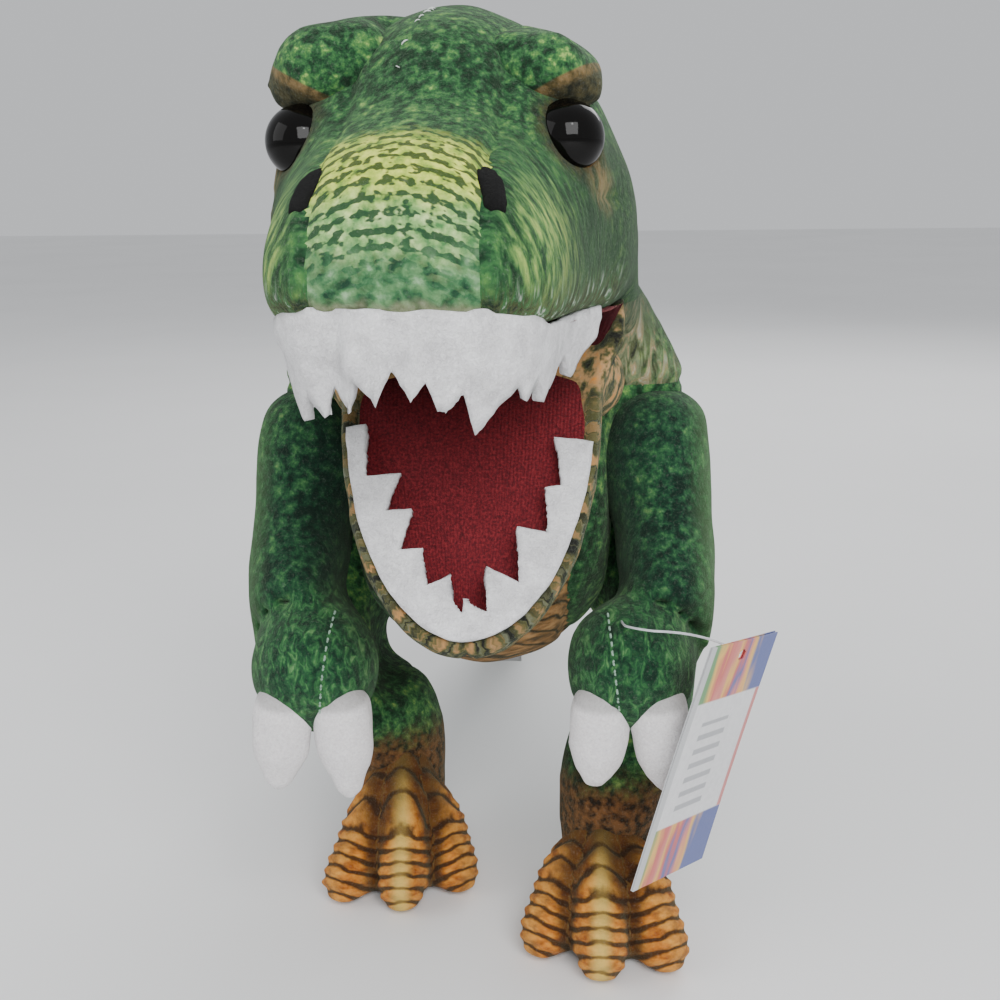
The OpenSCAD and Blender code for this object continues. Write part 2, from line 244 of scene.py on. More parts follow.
def shade_smooth(mesh, smooth=True):
    mesh.polygons.foreach_set("use_smooth", [smooth] * len(mesh.polygons))


def make(name, points, faces):
    """A new smooth-shaded object from points in millimetres."""
    mesh = bpy.data.meshes.new(name)
    mesh.from_pydata(metres(points).tolist(), [], faces)
    mesh.validate()
    shade_smooth(mesh)
    return place_object(name, mesh)


def get(piece):
    co = np.zeros(len(piece.data.vertices) * 3)
    piece.data.vertices.foreach_get("co", co)
    return millimetres(co.reshape(-1, 3))


def put(piece, points):
    piece.data.vertices.foreach_set("co", metres(points).astype(np.float32).ravel())
    piece.data.update()


def normals(piece):
    n = np.zeros(len(piece.data.vertices) * 3)
    piece.data.vertices.foreach_get("normal", n)
    return n.reshape(-1, 3)


def relax(piece, times=4, strength=0.5, keep=None):
    """Evens the surface out by moving each point towards its neighbours.

    keep is a share of each move to leave out."""
    pairs = np.zeros(len(piece.data.edges) * 2, int)
    piece.data.edges.foreach_get("vertices", pairs)
    a, b = pairs.reshape(-1, 2).T
    points = get(piece)
    n = len(points)
    degree = np.maximum(np.bincount(a, minlength=n) + np.bincount(b, minlength=n), 1)
    free = 1.0 if keep is None else (1 - keep)[:, None]
    for _ in range(times):
        mean = np.stack([np.bincount(a, points[b, k], n) + np.bincount(b, points[a, k], n)
                         for k in range(3)], axis=1) / degree[:, None]
        points = points + (mean - points) * strength * free
    put(piece, points)


def settle(piece):
    """Applies every modifier on a piece."""
    graph = bpy.context.evaluated_depsgraph_get()
    mesh = bpy.data.meshes.new_from_object(piece.evaluated_get(graph))
    piece.modifiers.clear()
    old, piece.data = piece.data, mesh
    bpy.data.meshes.remove(old)
    piece.vertex_groups.clear()


def thicken(piece, thickness, offset=0):
    """Gives a surface a thickness in millimetres. settle applies it."""
    solid = piece.modifiers.new("thick", "SOLIDIFY")
    solid.thickness, solid.offset = thickness * MM, offset


def subdivide(piece):
    modifier = piece.modifiers.new("finer", "SUBSURF")
    modifier.levels = modifier.render_levels = 1
    settle(piece)
    shade_smooth(piece.data)


PRESSURE, PUFF_FRAMES = 4.0, 20     # of the cloth simulation


def inflate(piece, held, cap):
    """Cloth simulation of the stuffing's push, by at most cap.

    held is 1 where a seam holds the cloth and 0 where it is free."""
    scene = bpy.context.scene
    group = piece.vertex_groups.new(name="held")
    for i, w in enumerate(held):
        if w > 0.01:
            group.add([i], float(w), "REPLACE")
    before = get(piece)
    cloth = piece.modifiers.new("cloth", "CLOTH")
    cloth.settings.quality = 4
    cloth.settings.use_pressure = True
    cloth.settings.uniform_pressure_force = PRESSURE
    cloth.settings.effector_weights.gravity = 0
    cloth.settings.vertex_group_mass = "held"
    cloth.settings.pin_stiffness = 1.0
    cloth.settings.bending_stiffness = 0.2
    cloth.point_cache.frame_start, cloth.point_cache.frame_end = 1, PUFF_FRAMES
    for step in range(1, PUFF_FRAMES + 1):
        scene.frame_set(step)
    graph = bpy.context.evaluated_depsgraph_get()
    puffed = piece.evaluated_get(graph)
    co = np.zeros(len(before) * 3)
    puffed.data.vertices.foreach_get("co", co)
    move = millimetres(co.reshape(-1, 3)) - before
    piece.modifiers.remove(cloth)
    piece.vertex_groups.clear()
    length = np.linalg.norm(move, axis=1)
    move *= (np.minimum(length, cap) / np.maximum(length, 1e-6))[:, None]
    put(piece, before + move)
    scene.frame_set(1)


def stuffed(name, grid, distance, held=None, cap=3.0, smooth=5):
    """A stuffed form: meshed, inflated and subdivided. held(points) says where seams hold it."""
    piece = make(name, *grid.surface(distance))
    relax(piece, smooth)
    points = get(piece)
    inflate(piece, held(points) if held else np.zeros(len(points)), cap)
    relax(piece, 1, 0.4)
    subdivide(piece)
    return piece


def wrinkle(piece, depth, size, seed, stretch=(1, 1, 1)):
    """Soft uneven places, as hand-packed fibre leaves."""
    offsets = np.random.default_rng(seed).uniform(0, 9, (6, 3))
    p = get(piece) / size * np.array(stretch)
    wave = sum(np.sin(p @ turn("Z", 61 * i)[0] * (1 + 0.37 * i) + o[0])
               * np.sin(p @ turn("X", 47 * i)[1] * (1.2 + 0.31 * i) + o[1])
               * np.sin(p @ turn("Y", 29 * i)[2] * (0.9 + 0.41 * i) + o[2])
               for i, o in enumerate(offsets))
    put(piece, get(piece) + normals(piece) * (depth * wave / 2)[:, None])


def part(source, name, inside):
    """The faces of source whose centres are inside, as a new object. The seam's points are in both."""
    mesh = source.data
    centres = np.zeros(len(mesh.polygons) * 3)
    mesh.polygons.foreach_get("center", centres)
    wanted = inside(millimetres(centres.reshape(-1, 3)))
    faces = [tuple(p.vertices) for p, w in zip(mesh.polygons, wanted) if w]
    used = sorted({i for f in faces for i in f})
    place = {i: k for k, i in enumerate(used)}
    return make(name, get(source)[used], [tuple(place[i] for i in f) for f in faces])


def cut(piece, point, normal):
    """Adds an edge loop where a plane crosses the piece, so that a seam is clean."""
    bm = bmesh.new()
    bm.from_mesh(piece.data)
    bmesh.ops.bisect_plane(bm, geom=bm.verts[:] + bm.edges[:] + bm.faces[:], dist=0.0002,
                           plane_co=metres(point), plane_no=normal)
    bm.to_mesh(piece.data)
    bm.free()


def tree(piece):
    return BVHTree.FromPolygons([v.co for v in piece.data.vertices],
                                [tuple(p.vertices) for p in piece.data.polygons])


def hit(surface, start, direction):
    """Where a ray meets a surface, and its normal there, in millimetres."""
    place, normal, _, _ = surface.ray_cast(Vector(metres(start)), Vector(direction).normalized())
    return (None, None) if place is None else (millimetres(place), np.array(normal))


def sheet_faces(rows, columns):
    return [(r * columns + c, r * columns + c + 1, (r + 1) * columns + c + 1, (r + 1) * columns + c)
            for r in range(rows - 1) for c in range(columns - 1)]


def tube(name, points, radius, sides=10):
    """A closed tube along points, with a radius for each."""
    points = np.array(points, float)
    radius = np.broadcast_to(radius, len(points))
    along = np.gradient(points, axis=0)
    along /= np.linalg.norm(along, axis=1)[:, None]
    side = np.cross(along, [0.13, 0.31, 0.94])
    side /= np.linalg.norm(side, axis=1)[:, None]
    up = np.cross(along, side)
    angle = 2 * math.pi * np.arange(sides) / sides
    rings = (points[:, None] + radius[:, None, None]
             * (side[:, None] * np.cos(angle)[:, None] + up[:, None] * np.sin(angle)[:, None]))
    verts = np.vstack([rings.reshape(-1, 3), points[0], points[-1]])
    n, m = len(points), sides
    faces = [(r * m + c, r * m + (c + 1) % m, (r + 1) * m + (c + 1) % m, (r + 1) * m + c)
             for r in range(n - 1) for c in range(m)]
    faces += [(n * m, (c + 1) % m, c) for c in range(m)]
    faces += [(n * m + 1, (n - 1) * m + c, (n - 1) * m + (c + 1) % m) for c in range(m)]
    return verts, faces


def join_meshes(name, meshes):
    """Several (points, faces) as one object."""
    points, faces, start = [], [], 0
    for p, f in meshes:
        points.append(p)
        faces += [tuple(i + start for i in face) for face in f]
        start += len(p)
    return make(name, np.vstack(points), faces)


def note(piece, name, values):
    """Stores a value or a vector for each point, for the material to read."""
    values = np.asarray(values, float)
    kind = "FLOAT_VECTOR" if values.ndim == 2 else "FLOAT"
    attribute = piece.data.attributes.new(name, kind, "POINT")
    attribute.data.foreach_set("vector" if values.ndim == 2 else "value", values.astype(np.float32).ravel())


# ---- materials ----

def arithmetic(operation, turned=False):
    return lambda a, b=0.0: a.shade.math(operation, b, a) if turned else a.shade.math(operation, a, b)


class Signal:
    """A node's output. Arithmetic on it makes the nodes that do the sum."""

    def __init__(self, shade, socket):
        self.shade, self.socket = shade, socket

    __add__, __radd__ = arithmetic("ADD"), arithmetic("ADD", True)
    __sub__, __rsub__ = arithmetic("SUBTRACT"), arithmetic("SUBTRACT", True)
    __mul__, __truediv__ = arithmetic("MULTIPLY"), arithmetic("DIVIDE")
    __pow__, __abs__ = arithmetic("POWER"), arithmetic("ABSOLUTE")
    fraction, larger = arithmetic("FRACT"), arithmetic("MAXIMUM")


class Shade:
    """A material under construction. Numbers and signals are both taken as inputs."""

    def __init__(self, name, roughness=0.9, **constants):
        self.material = bpy.data.materials.new(name)
        self.material.use_nodes = True
        self.tree = self.material.node_tree
        self.shader = self.tree.nodes["Principled BSDF"]
        self.shader.inputs["Roughness"].default_value = roughness
        for key, value in constants.items():
            self.shader.inputs[key.replace("_", " ")].default_value = value

    def put(self, socket, value):
        if isinstance(value, Signal):
            self.tree.links.new(value.socket, socket)
        elif isinstance(value, (tuple, list)) and socket.type == "RGBA":
            socket.default_value = (*value[:3], 1)
        else:
            socket.default_value = value

    def node(self, kind, inputs=(), output=0, **settings):
        made = self.tree.nodes.new(kind)
        for key, value in settings.items():
            setattr(made, key, value)
        for key, value in dict(inputs).items():
            self.put(made.inputs[key], value)
        return Signal(self, made.outputs[output])

    def point(self, name="print"):
        return self.node("ShaderNodeAttribute", output="Vector", attribute_name=name)

    def value(self, name):
        return self.node("ShaderNodeAttribute", output="Fac", attribute_name=name)

    def axes(self, vector):
        made = self.tree.nodes.new("ShaderNodeSeparateXYZ")
        self.put(made.inputs[0], vector)
        return [Signal(self, made.outputs[k]) for k in range(3)]

    def vector(self, x, y, z=0.0):
        return self.node("ShaderNodeCombineXYZ", {0: x, 1: y, 2: z})

    def math(self, operation, a, b):
        return self.node("ShaderNodeMath", {0: a, 1: b}, operation=operation)

    def stripe(self, value):
        """0 in the middle of each stripe and 0.5 at its edges. Stripes are 1 apart."""
        return abs(value.fraction() - 0.5)

    def stretch(self, vector, scale, rotate=(0, 0, 0)):
        return self.node("ShaderNodeMapping", {"Vector": vector, "Scale": scale,
                                               "Rotation": tuple(math.radians(r) for r in rotate)})

    def noise(self, vector, size, detail=3.0, roughness=0.55, distortion=0.0):
        return self.node("ShaderNodeTexNoise", {"Vector": vector, "Scale": 1 / size, "Detail": detail,
                                                "Roughness": roughness, "Distortion": distortion})

    def cells(self, vector, size, randomness):
        return self.node("ShaderNodeTexVoronoi", {"Vector": vector, "Scale": 1 / size,
                                                  "Randomness": randomness}, "Distance")

    def ramp(self, factor, stops):
        """stops are (place, colour)."""
        made = self.tree.nodes.new("ShaderNodeValToRGB")
        elements = made.color_ramp.elements
        while len(elements) < len(stops):
            elements.new(0.5)
        for element, (place, colour) in zip(elements, stops):
            element.position = place
            element.color = (*colour, 1)
        self.put(made.inputs[0], factor)
        return Signal(self, made.outputs[0])

    def step(self, value, a, b, low=0.0, high=1.0):
        """Goes smoothly from low at a to high at b."""
        return self.node("ShaderNodeMapRange", {"Value": value, "From Min": a, "From Max": b,
                                                "To Min": low, "To Max": high},
                         interpolation_type="SMOOTHSTEP")

    def mix(self, factor, a, b):
        made = self.tree.nodes.new("ShaderNodeMix")
        made.data_type = "RGBA"
        self.put(made.inputs[0], factor)
        self.put(made.inputs[6], a)
        self.put(made.inputs[7], b)
        return Signal(self, made.outputs[2])

    def near(self, vector, centre, inner, outer):
        """1 within inner of a point, falling to 0 at outer."""
        far = self.node("ShaderNodeVectorMath", {0: vector, 1: centre}, "Value", operation="DISTANCE")
        return self.step(far, inner, outer, 1.0, 0.0)

    def colour(self, value):
        self.put(self.shader.inputs["Base Color"], value)

    def bump(self, height, distance):
        made = self.node("ShaderNodeBump", {"Height": height, "Distance": distance})
        self.put(self.shader.inputs["Normal"], made)


PILE_DEPTH = 0.0006


def pile(shade, where, size=0.9):
    """The short pile of plush: tufts, and finer fibres across them."""
    tufts = shade.noise(where, size, 4.0, 0.7, 0.4)
    lay = shade.noise(shade.stretch(where, (1, 1, 0.35)), size * 3, 2.0)
    shade.bump(tufts + lay * 0.8, PILE_DEPTH)
    shade.put(shade.shader.inputs["Roughness"], shade.step(tufts, 0.3, 0.7, 0.97, 0.8))
    return tufts


PLUSH = {"Sheen_Weight": 0.12, "Sheen_Roughness": 0.45, "Sheen_Tint": (0.75, 0.95, 0.65, 1),
         "Specular_IOR_Level": 0.15}
BAND, SWEEP = 6.4, -0.12  # pitch of the bands across a toe, and how far they sweep back
DARK, DEEP = (0.006, 0.022, 0.010), (0.014, 0.055, 0.022)
GREEN, LEAF = (0.035, 0.125, 0.040), (0.085, 0.215, 0.055)
LIME, YELLOW = (0.27, 0.42, 0.10), (0.52, 0.58, 0.13)
OLIVE = (0.075, 0.075, 0.028)
TAN, ORANGE = (0.42, 0.25, 0.11), (0.60, 0.235, 0.045)
BROWN, BLACK = (0.075, 0.030, 0.011), (0.012, 0.012, 0.010)
PALE = (0.55, 0.58, 0.50)


def mottled(shade, where, size, stops, big=38.0):
    """Reptile print: small flecks of several greens, darker and lighter in broad patches."""
    flecks = shade.noise(where, size, 4.0, 0.66, 0.15)
    scales = shade.cells(where, size * 1.5, 0.9)
    broad = shade.noise(where, big, 2.0)
    factor = flecks * 0.95 + (scales - 0.45) * -0.16
    factor = factor + (broad - 0.5) * 0.34
    return shade.ramp(factor, stops)


def plush(shade, colour, where, size=0.9):
    """The finished material: a pile of the given size, its print a little lighter where tufts stand up."""
    tufts = pile(shade, where, size)
    shade.colour(shade.mix(shade.step(tufts, 0.52, 0.78, 0.0, 0.2), colour, shade.mix(0.5, colour, PALE)))
    return shade.material


GREEN_STOPS = [(0.33, DARK), (0.44, DEEP), (0.53, GREEN), (0.61, LEAF), (0.74, LIME)]
ARM_STOPS = [(0.36, (0.004, 0.016, 0.010)), (0.47, (0.009, 0.040, 0.020)), (0.56, (0.020, 0.082, 0.032)),
             (0.66, (0.052, 0.155, 0.050)), (0.78, (0.17, 0.28, 0.09))]


def body_material():
    shade = Shade("green_plush", **PLUSH)
    where = shade.point()
    colour = mottled(shade, where, 3.4, GREEN_STOPS)
    x, y, z = shade.axes(where)
    # The print darkens along the back and lightens to olive tan low on the flanks and under the tail
    low = shade.step(z, 60.0, 20.0)
    colour = shade.mix(low * 0.25, colour, TAN)
    ridge = shade.step(abs(x), 20.0, 4.0) * shade.step(y, -20.0, 30.0)
    colour = shade.mix(ridge * 0.55, colour, DARK)
    stripes = shade.noise(shade.stretch(where, (0.3, 1.0, 0.3)), 9.0, 2.0)
    colour = shade.mix(shade.step(stripes, 0.56, 0.66) * 0.45, colour, DEEP)
    return plush(shade, colour, where)


def head_material():
    shade = Shade("head_plush", **PLUSH)
    where = shade.point()
    x, y, z = shade.axes(where)
    side = abs(x)
    both = shade.vector(side, y, z)
    colour = mottled(shade, where, 2.9, GREEN_STOPS, 30.0)
    # Fine streaks on the cheeks, running back and down from the nostril
    streaks = shade.noise(shade.stretch(both, (0.25, 1.0, 0.22), (-38, 0, 0)), 1.7, 3.0, 0.6, 0.2)
    streaked = shade.ramp(streaks, [(0.34, DARK), (0.46, DEEP), (0.56, GREEN), (0.66, LEAF), (0.80, LIME)])
    cheek = shade.step(z, 296.0, 278.0) * shade.step(y, -120.0, -140.0)
    colour = shade.mix(cheek, colour, streaked)
    bright = shade.ramp(streaks, [(0.36, DEEP), (0.47, LEAF), (0.56, LIME), (0.70, YELLOW)])
    patch = shade.near(both, (38, -172, 262), 4.0, 24.0)
    colour = shade.mix(patch * 0.9, colour, bright)
    # Pale and black streaks run down to the lip
    comb = shade.noise(shade.stretch(both, (0.9, 0.9, 0.12)), 1.9, 3.0, 0.6, 0.3)
    lip = shade.ramp(comb, [(0.36, BLACK), (0.47, OLIVE), (0.57, GREEN), (0.68, PALE)])
    # Darker towards the head's sides: partly the print's dark side panels, partly painted shade where the
    # cheeks turn away.
    outer = shade.step(side, 33.0, 46.0) * shade.step(z, 300.0, 286.0)
    colour = shade.mix(outer * 0.75, colour, DARK)
    hem = shade.step(z, 258.0, 244.0) * shade.step(y, -100.0, -125.0)
    colour = shade.mix(hem * 0.85, colour, lip)
    # Dark cloth round the eyes and a tan patch under them
    socket = shade.near(both, (41, -139, 292), 9.5, 17.0)
    dark = shade.ramp(shade.noise(where, 2.5, 3.0), [(0.4, BLACK), (0.6, (0.045, 0.035, 0.014))])
    colour = shade.mix(socket * 0.9, colour, dark)
    under = shade.near(both, (48, -133, 277), 2.0, 11.0)
    warm = shade.ramp(shade.noise(shade.stretch(both, (0.4, 1.0, 0.4)), 2.6, 3.0),
                      [(0.42, OLIVE), (0.6, TAN)])
    colour = shade.mix(under * 0.4, colour, warm)
    return plush(shade, colour, where)


def brow_material():
    shade = Shade("brow_plush", **PLUSH)
    where = shade.point()
    stops = [(0.33, DARK), (0.42, DEEP), (0.50, GREEN), (0.58, LEAF), (0.66, LIME), (0.80, YELLOW)]
    colour = mottled(shade, where, 3.0, stops, 20.0)
    under = shade.value("under")
    grain = shade.noise(where, 3.0, 3.0)
    tan = shade.ramp(grain, [(0.4, (0.060, 0.045, 0.016)), (0.62, (0.20, 0.13, 0.055))])
    dark = shade.ramp(grain, [(0.4, (0.012, 0.012, 0.008)), (0.62, (0.060, 0.050, 0.022))])
    flap = shade.mix(shade.step(under, 1.5, 4.0), tan, dark)
    colour = shade.mix(shade.step(under, -0.4, 0.4), colour, flap)
    return plush(shade, colour, where)


def snout_material():
    """Arched rows of dark dashes on lime, which turns green, then blotched teal, towards the lip."""
    shade = Shade("snout_plush", **PLUSH)
    where, place = shade.point("cloth"), shade.point()
    across, down, _ = shade.axes(where)
    pitch = 4.1
    side = abs(across)
    arched = down - side ** 2.0 * 0.012
    wobble = (shade.noise(where, 6.0, 2.5) - 0.5) * 3.4
    row = (arched + wobble) / pitch
    phase = shade.stripe(row)
    strokes = shade.noise(shade.vector(across * 0.66, arched), 1.9, 1.5, 0.5)
    rows = (phase - 0.25) * -0.55
    mark = shade.step(strokes + rows, 0.48, 0.58)
    tone = shade.noise(where, 3.6, 3.0)
    lime = shade.ramp(tone, [(0.32, (0.17, 0.30, 0.045)), (0.46, (0.42, 0.55, 0.065)),
                             (0.64, (0.70, 0.78, 0.13))])
    mint = shade.ramp(tone, [(0.34, (0.07, 0.21, 0.065)), (0.5, (0.24, 0.43, 0.14)),
                             (0.68, (0.50, 0.68, 0.28))])
    teal = shade.ramp(shade.noise(where, 4.6, 3.0, 0.55, 0.3),
                      [(0.36, (0.010, 0.040, 0.022)), (0.48, (0.035, 0.125, 0.052)),
                       (0.60, (0.10, 0.235, 0.10)),
                       (0.74, (0.28, 0.44, 0.26))])
    crown = mottled(shade, place, 2.9, GREEN_STOPS, 30.0)
    fade = down + shade.noise(where, 8.0, 2.0) * 10.0
    base = shade.mix(shade.step(fade, 108.0, 120.0), lime, mint)
    ink = shade.mix(shade.step(down, 98.0, 112.0), (0.040, 0.068, 0.014), (0.018, 0.060, 0.026))
    printed = shade.mix(mark * 0.96, base, ink)
    printed = shade.mix(shade.step(fade, 122.0, 134.0, 0.0, 0.9), printed, teal)
    printed = shade.mix(shade.step(fade, 84.0, 97.0), crown, printed)
    hem = shade.ramp(tone, [(0.35, (0.12, 0.13, 0.06)), (0.65, (0.30, 0.31, 0.20))])
    printed = shade.mix(shade.step(fade, 138.0, 142.0) * 0.8, printed, hem)
    return plush(shade, printed, place)


def throat_material():
    """Grey-green, tan and black streaks of the neck."""
    shade = Shade("throat_plush", **PLUSH)
    where = shade.point()
    x, y, z = shade.axes(where)
    streaks = shade.noise(shade.stretch(where, (0.8, 0.8, 0.2), (12, 0, 0)), 2.6, 3.5, 0.6, 0.9)
    colour = shade.ramp(streaks, [(0.33, (0.03, 0.03, 0.02)), (0.43, (0.10, 0.11, 0.05)),
                                  (0.53, (0.20, 0.23, 0.13)),
                                  (0.61, (0.40, 0.27, 0.14)), (0.70, (0.50, 0.48, 0.36))])
    greens = mottled(shade, where, 3.2, GREEN_STOPS)
    colour = shade.mix(shade.step(y, -62.0, -34.0), colour, greens)
    # Darker towards the head's sides, as the head's own sides are: partly print, partly painted shade
    outer = shade.step(abs(x), 33.0, 46.0) * shade.step(z, 218.0, 240.0)
    colour = shade.mix(outer * 0.75, colour, DARK)
    return plush(shade, colour, where)


def jaw_material():
    """Tan blotches bounded by dark slanting lines cross the rolled rim."""
    shade = Shade("jaw_plush", **PLUSH)
    where, place = shade.point("cloth"), shade.point()
    along, out, _ = shade.axes(where)
    slant = along + out * 0.9
    bend = (shade.noise(where, 6.0, 2.0) - 0.5) * 13.0
    row = (slant + bend) / 8.5
    phase = shade.stripe(row)
    tan = shade.ramp(shade.noise(where, 4.0, 3.5), [(0.38, BLACK), (0.48, OLIVE), (0.58, (0.30, 0.17, 0.07)),
                                                    (0.68, (0.50, 0.24, 0.07)), (0.8, TAN)])
    grey = shade.ramp(shade.noise(shade.stretch(where, (1.0, 0.5, 1.0)), 2.2, 3.0),
                      [(0.36, BLACK), (0.5, OLIVE), (0.66, (0.16, 0.17, 0.12))])
    colour = shade.mix(shade.step(phase, 0.30, 0.17), grey, tan)
    colour = shade.mix(shade.step(phase, 0.40, 0.47), colour, BLACK)
    below = shade.ramp(shade.noise(shade.stretch(place, (0.5, 0.5, 1.0)), 3.0, 3.0),
                       [(0.36, BLACK), (0.48, OLIVE), (0.58, TAN), (0.72, ORANGE)])
    _, y, _ = shade.axes(place)
    plain = shade.step(out, 9.0, 16.0).larger(shade.step(y, -28.0, -12.0))
    colour = shade.mix(plain, colour, below)
    return plush(shade, colour, place, 0.8)


def arm_material():
    shade = Shade("arm_plush", **PLUSH)
    where = shade.point()
    colour = mottled(shade, where, 3.2, ARM_STOPS, 26.0)
    x, _, _ = shade.axes(where)
    hand = shade.value("hand")
    strokes = shade.noise(shade.stretch(where, (1.0, 0.5, 0.5), (0, 24, 0)), 2.6, 3.0, 0.6, 1.0)
    bright = shade.ramp(strokes, [(0.38, (0.005, 0.022, 0.012)), (0.50, (0.013, 0.062, 0.025)),
                                  (0.60, (0.038, 0.150, 0.045)), (0.74, (0.15, 0.31, 0.11))])
    colour = shade.mix(hand * 0.75, colour, bright)
    outside = shade.step(abs(x), 70.0, 84.0)
    colour = shade.mix(outside * 0.35, colour, LEAF)
    # Painted shade on the arm's inner side, towards the body, away from the hand.
    inside = shade.step(abs(x), 64.0, 46.0)
    painted_inner_shade = inside * shade.step(hand, 0.6, 0.1)
    colour = shade.mix(painted_inner_shade * 0.6, colour, (0.004, 0.02, 0.014))
    return plush(shade, colour, where)


def belly_material():
    """Brown with dark lines that run across, a little arched."""
    shade = Shade("belly_plush", **PLUSH)
    where = shade.point()
    x, _, z = shade.axes(where)
    bent = z + x ** 2.0 * 0.008
    bent = bent + shade.noise(where, 11.0, 2.0) * 9.0
    phase = shade.stripe(bent / 7.5)
    base = shade.ramp(shade.noise(shade.stretch(where, (0.3, 1, 1)), 3.4, 3.5),
                      [(0.36, (0.085, 0.045, 0.018)), (0.5, (0.26, 0.13, 0.045)),
                       (0.66, (0.44, 0.24, 0.09))])
    colour = shade.mix(shade.step(phase, 0.32, 0.48), base, (0.035, 0.022, 0.010))
    return plush(shade, colour, where)


def leg_material():
    """Dark green that goes brown at the ankle."""
    shade = Shade("leg_plush", **PLUSH)
    where = shade.point()
    colour = mottled(shade, where, 3.4, GREEN_STOPS)
    _, _, z = shade.axes(where)
    dusk = shade.ramp(shade.noise(where, 3.0, 3.0),
                      [(0.38, (0.016, 0.010, 0.006)), (0.62, (0.15, 0.065, 0.022))])
    uneven = z + shade.noise(where, 6.0, 2.0) * 12.0
    colour = shade.mix(shade.step(uneven, 76.0, 60.0), colour, dusk)
    return plush(shade, colour, where)


def foot_material():
    """Orange toes with dark bands across, a yellow line down each, and dark grooves between."""
    shade = Shade("foot_plush", **PLUSH)
    where, place = shade.point("cloth"), shade.point()
    across, along, _ = shade.axes(where)
    side = abs(across)
    bent = along + side * SWEEP
    bent = bent + shade.noise(where, 7.0, 2.5) * 4.0
    phase = shade.stripe(bent / BAND)
    middle = shade.value("middle")
    thin = shade.step(side, 0.0, 7.0, 0.37, 0.31)
    plain = middle * shade.step(side, 4.5, 0.5)
    band = shade.step(phase - thin, -0.09, 0.09) * (1.0 - plain * 0.25)
    base = shade.ramp(shade.noise(where, 4.0, 3.0),
                      [(0.34, (0.26, 0.070, 0.010)), (0.5, (0.50, 0.17, 0.022)),
                       (0.68, (0.66, 0.28, 0.045))])
    core = shade.step(side, 6.0, 0.5) * (0.15 + middle * 0.55)
    base = shade.mix(core, base, (0.66, 0.50, 0.13))
    colour = shade.mix(band * 0.93, base, (0.035, 0.014, 0.006))
    between = shade.step(shade.value("between"), 8.0, 2.0)
    colour = shade.mix(between * 0.85, colour, (0.03, 0.013, 0.006))
    _, _, height = shade.axes(place)
    dusk = shade.ramp(shade.noise(place, 3.0, 3.0),
                      [(0.4, (0.018, 0.010, 0.006)), (0.62, (0.16, 0.07, 0.022))])
    ankle = height + shade.noise(place, 7.0, 2.0) * 14.0
    colour = shade.mix(shade.step(ankle, 55.0, 70.0) * 0.7, colour, dusk)
    return plush(shade, colour, place, 0.8)


def sole_material():
    shade = Shade("sole_plush", **PLUSH)
    where = shade.point()
    shade.colour(shade.ramp(shade.noise(where, 5.0, 4.0), [(0.35, BROWN), (0.65, (0.22, 0.10, 0.035))]))
    pile(shade, where)
    return shade.material


def lining_material():
    """Brushed warp knit: fine ribs, a little sparkle, and painted shade deep in the throat."""
    shade = Shade("red_lining", 0.72, Sheen_Weight=0.35, Sheen_Roughness=0.35,
                  Sheen_Tint=(1.0, 0.35, 0.35, 1), Specular_IOR_Level=0.25)
    where, cloth = shade.point(), shade.point("cloth")
    grain = shade.noise(where, 0.8, 3.0, 0.7)
    colour = shade.ramp(grain, [(0.32, (0.045, 0.002, 0.005)), (0.5, (0.115, 0.005, 0.010)),
                                (0.72, (0.24, 0.02, 0.025))])
    # Painted shade: the lining darkens deep in the throat, under the head.
    throat = shade.step(shade.value("depth"), 0.0, 1.0, 0.0, 0.86)
    colour = shade.mix(throat, colour, (0.030, 0.002, 0.004))
    shade.colour(colour)
    ribs = shade.node("ShaderNodeTexWave",
                      {"Vector": cloth, "Scale": 0.35, "Distortion": 1.5, "Detail": 2.0},
                      wave_type="BANDS", bands_direction="X")
    shade.bump(grain + ribs * 0.4, 0.0004)
    return shade.material


def felt_material(name, light, dark, fuzz=0.9, sheen=0.25):
    """Needle felt: matted fibres with soft dips. Its colour is partly the fibres' own tone and partly
    painted shade that darkens the dips.
    """
    shade = Shade(name, 0.95, Sheen_Weight=sheen, Sheen_Roughness=0.6, Specular_IOR_Level=0.1)
    where = shade.point()
    mat = shade.noise(where, 1.1, 5.0, 0.72, 1.6)
    soft = shade.noise(where, 7.0, 2.0)
    # Partly fibre tone, partly painted shade: the noise that sinks the dips also darkens them.
    shade.colour(shade.ramp(mat * 0.6 + soft * 0.4, [(0.33, dark), (0.62, light)]))
    shade.bump(mat + soft * 1.5, 0.0007 * fuzz)
    return shade.material


def claw_material():
    shade = Shade("white_plush", 0.9, Sheen_Weight=0.3, Sheen_Roughness=0.5, Specular_IOR_Level=0.12)
    where = shade.point()
    root = shade.value("root")
    fibre = shade.noise(where, 0.9, 4.0, 0.7, 0.5)
    colour = shade.ramp(fibre, [(0.3, (0.60, 0.57, 0.58)), (0.65, (0.80, 0.78, 0.78))])
    # Painted shade: the claw greys towards its root, under the hand.
    grey = shade.step(root, 3.0, 0.0) * 0.45
    colour = shade.mix(grey, colour, (0.10, 0.10, 0.09))
    shade.colour(colour)
    shade.bump(fibre + shade.noise(where, 6.0, 2.0) * 1.2, 0.0005)
    return shade.material


def eye_material():
    """A clear dome moulded over black, with an amber ring at its edge."""
    shade = Shade("safety_eye", 0.04, Specular_IOR_Level=0.22, IOR=1.4)
    reach = shade.value("reach")
    swirl = shade.noise(shade.point(), 1.6, 3.0)
    amber = shade.ramp(swirl, [(0.3, (0.05, 0.018, 0.005)), (0.7, (0.26, 0.12, 0.035))])
    x, _, z = shade.axes(shade.point())
    low = abs(x) - z
    ring = shade.step(reach, 0.9, 0.95) * shade.step(low, -252.0, -245.0)
    colour = shade.mix(ring, (0.0025, 0.0022, 0.002), amber)
    shade.colour(colour)
    shade.put(shade.shader.inputs["Roughness"], shade.step(swirl, 0.2, 0.9, 0.03, 0.07))
    shade.bump(swirl, 0.00002)
    return shade.material


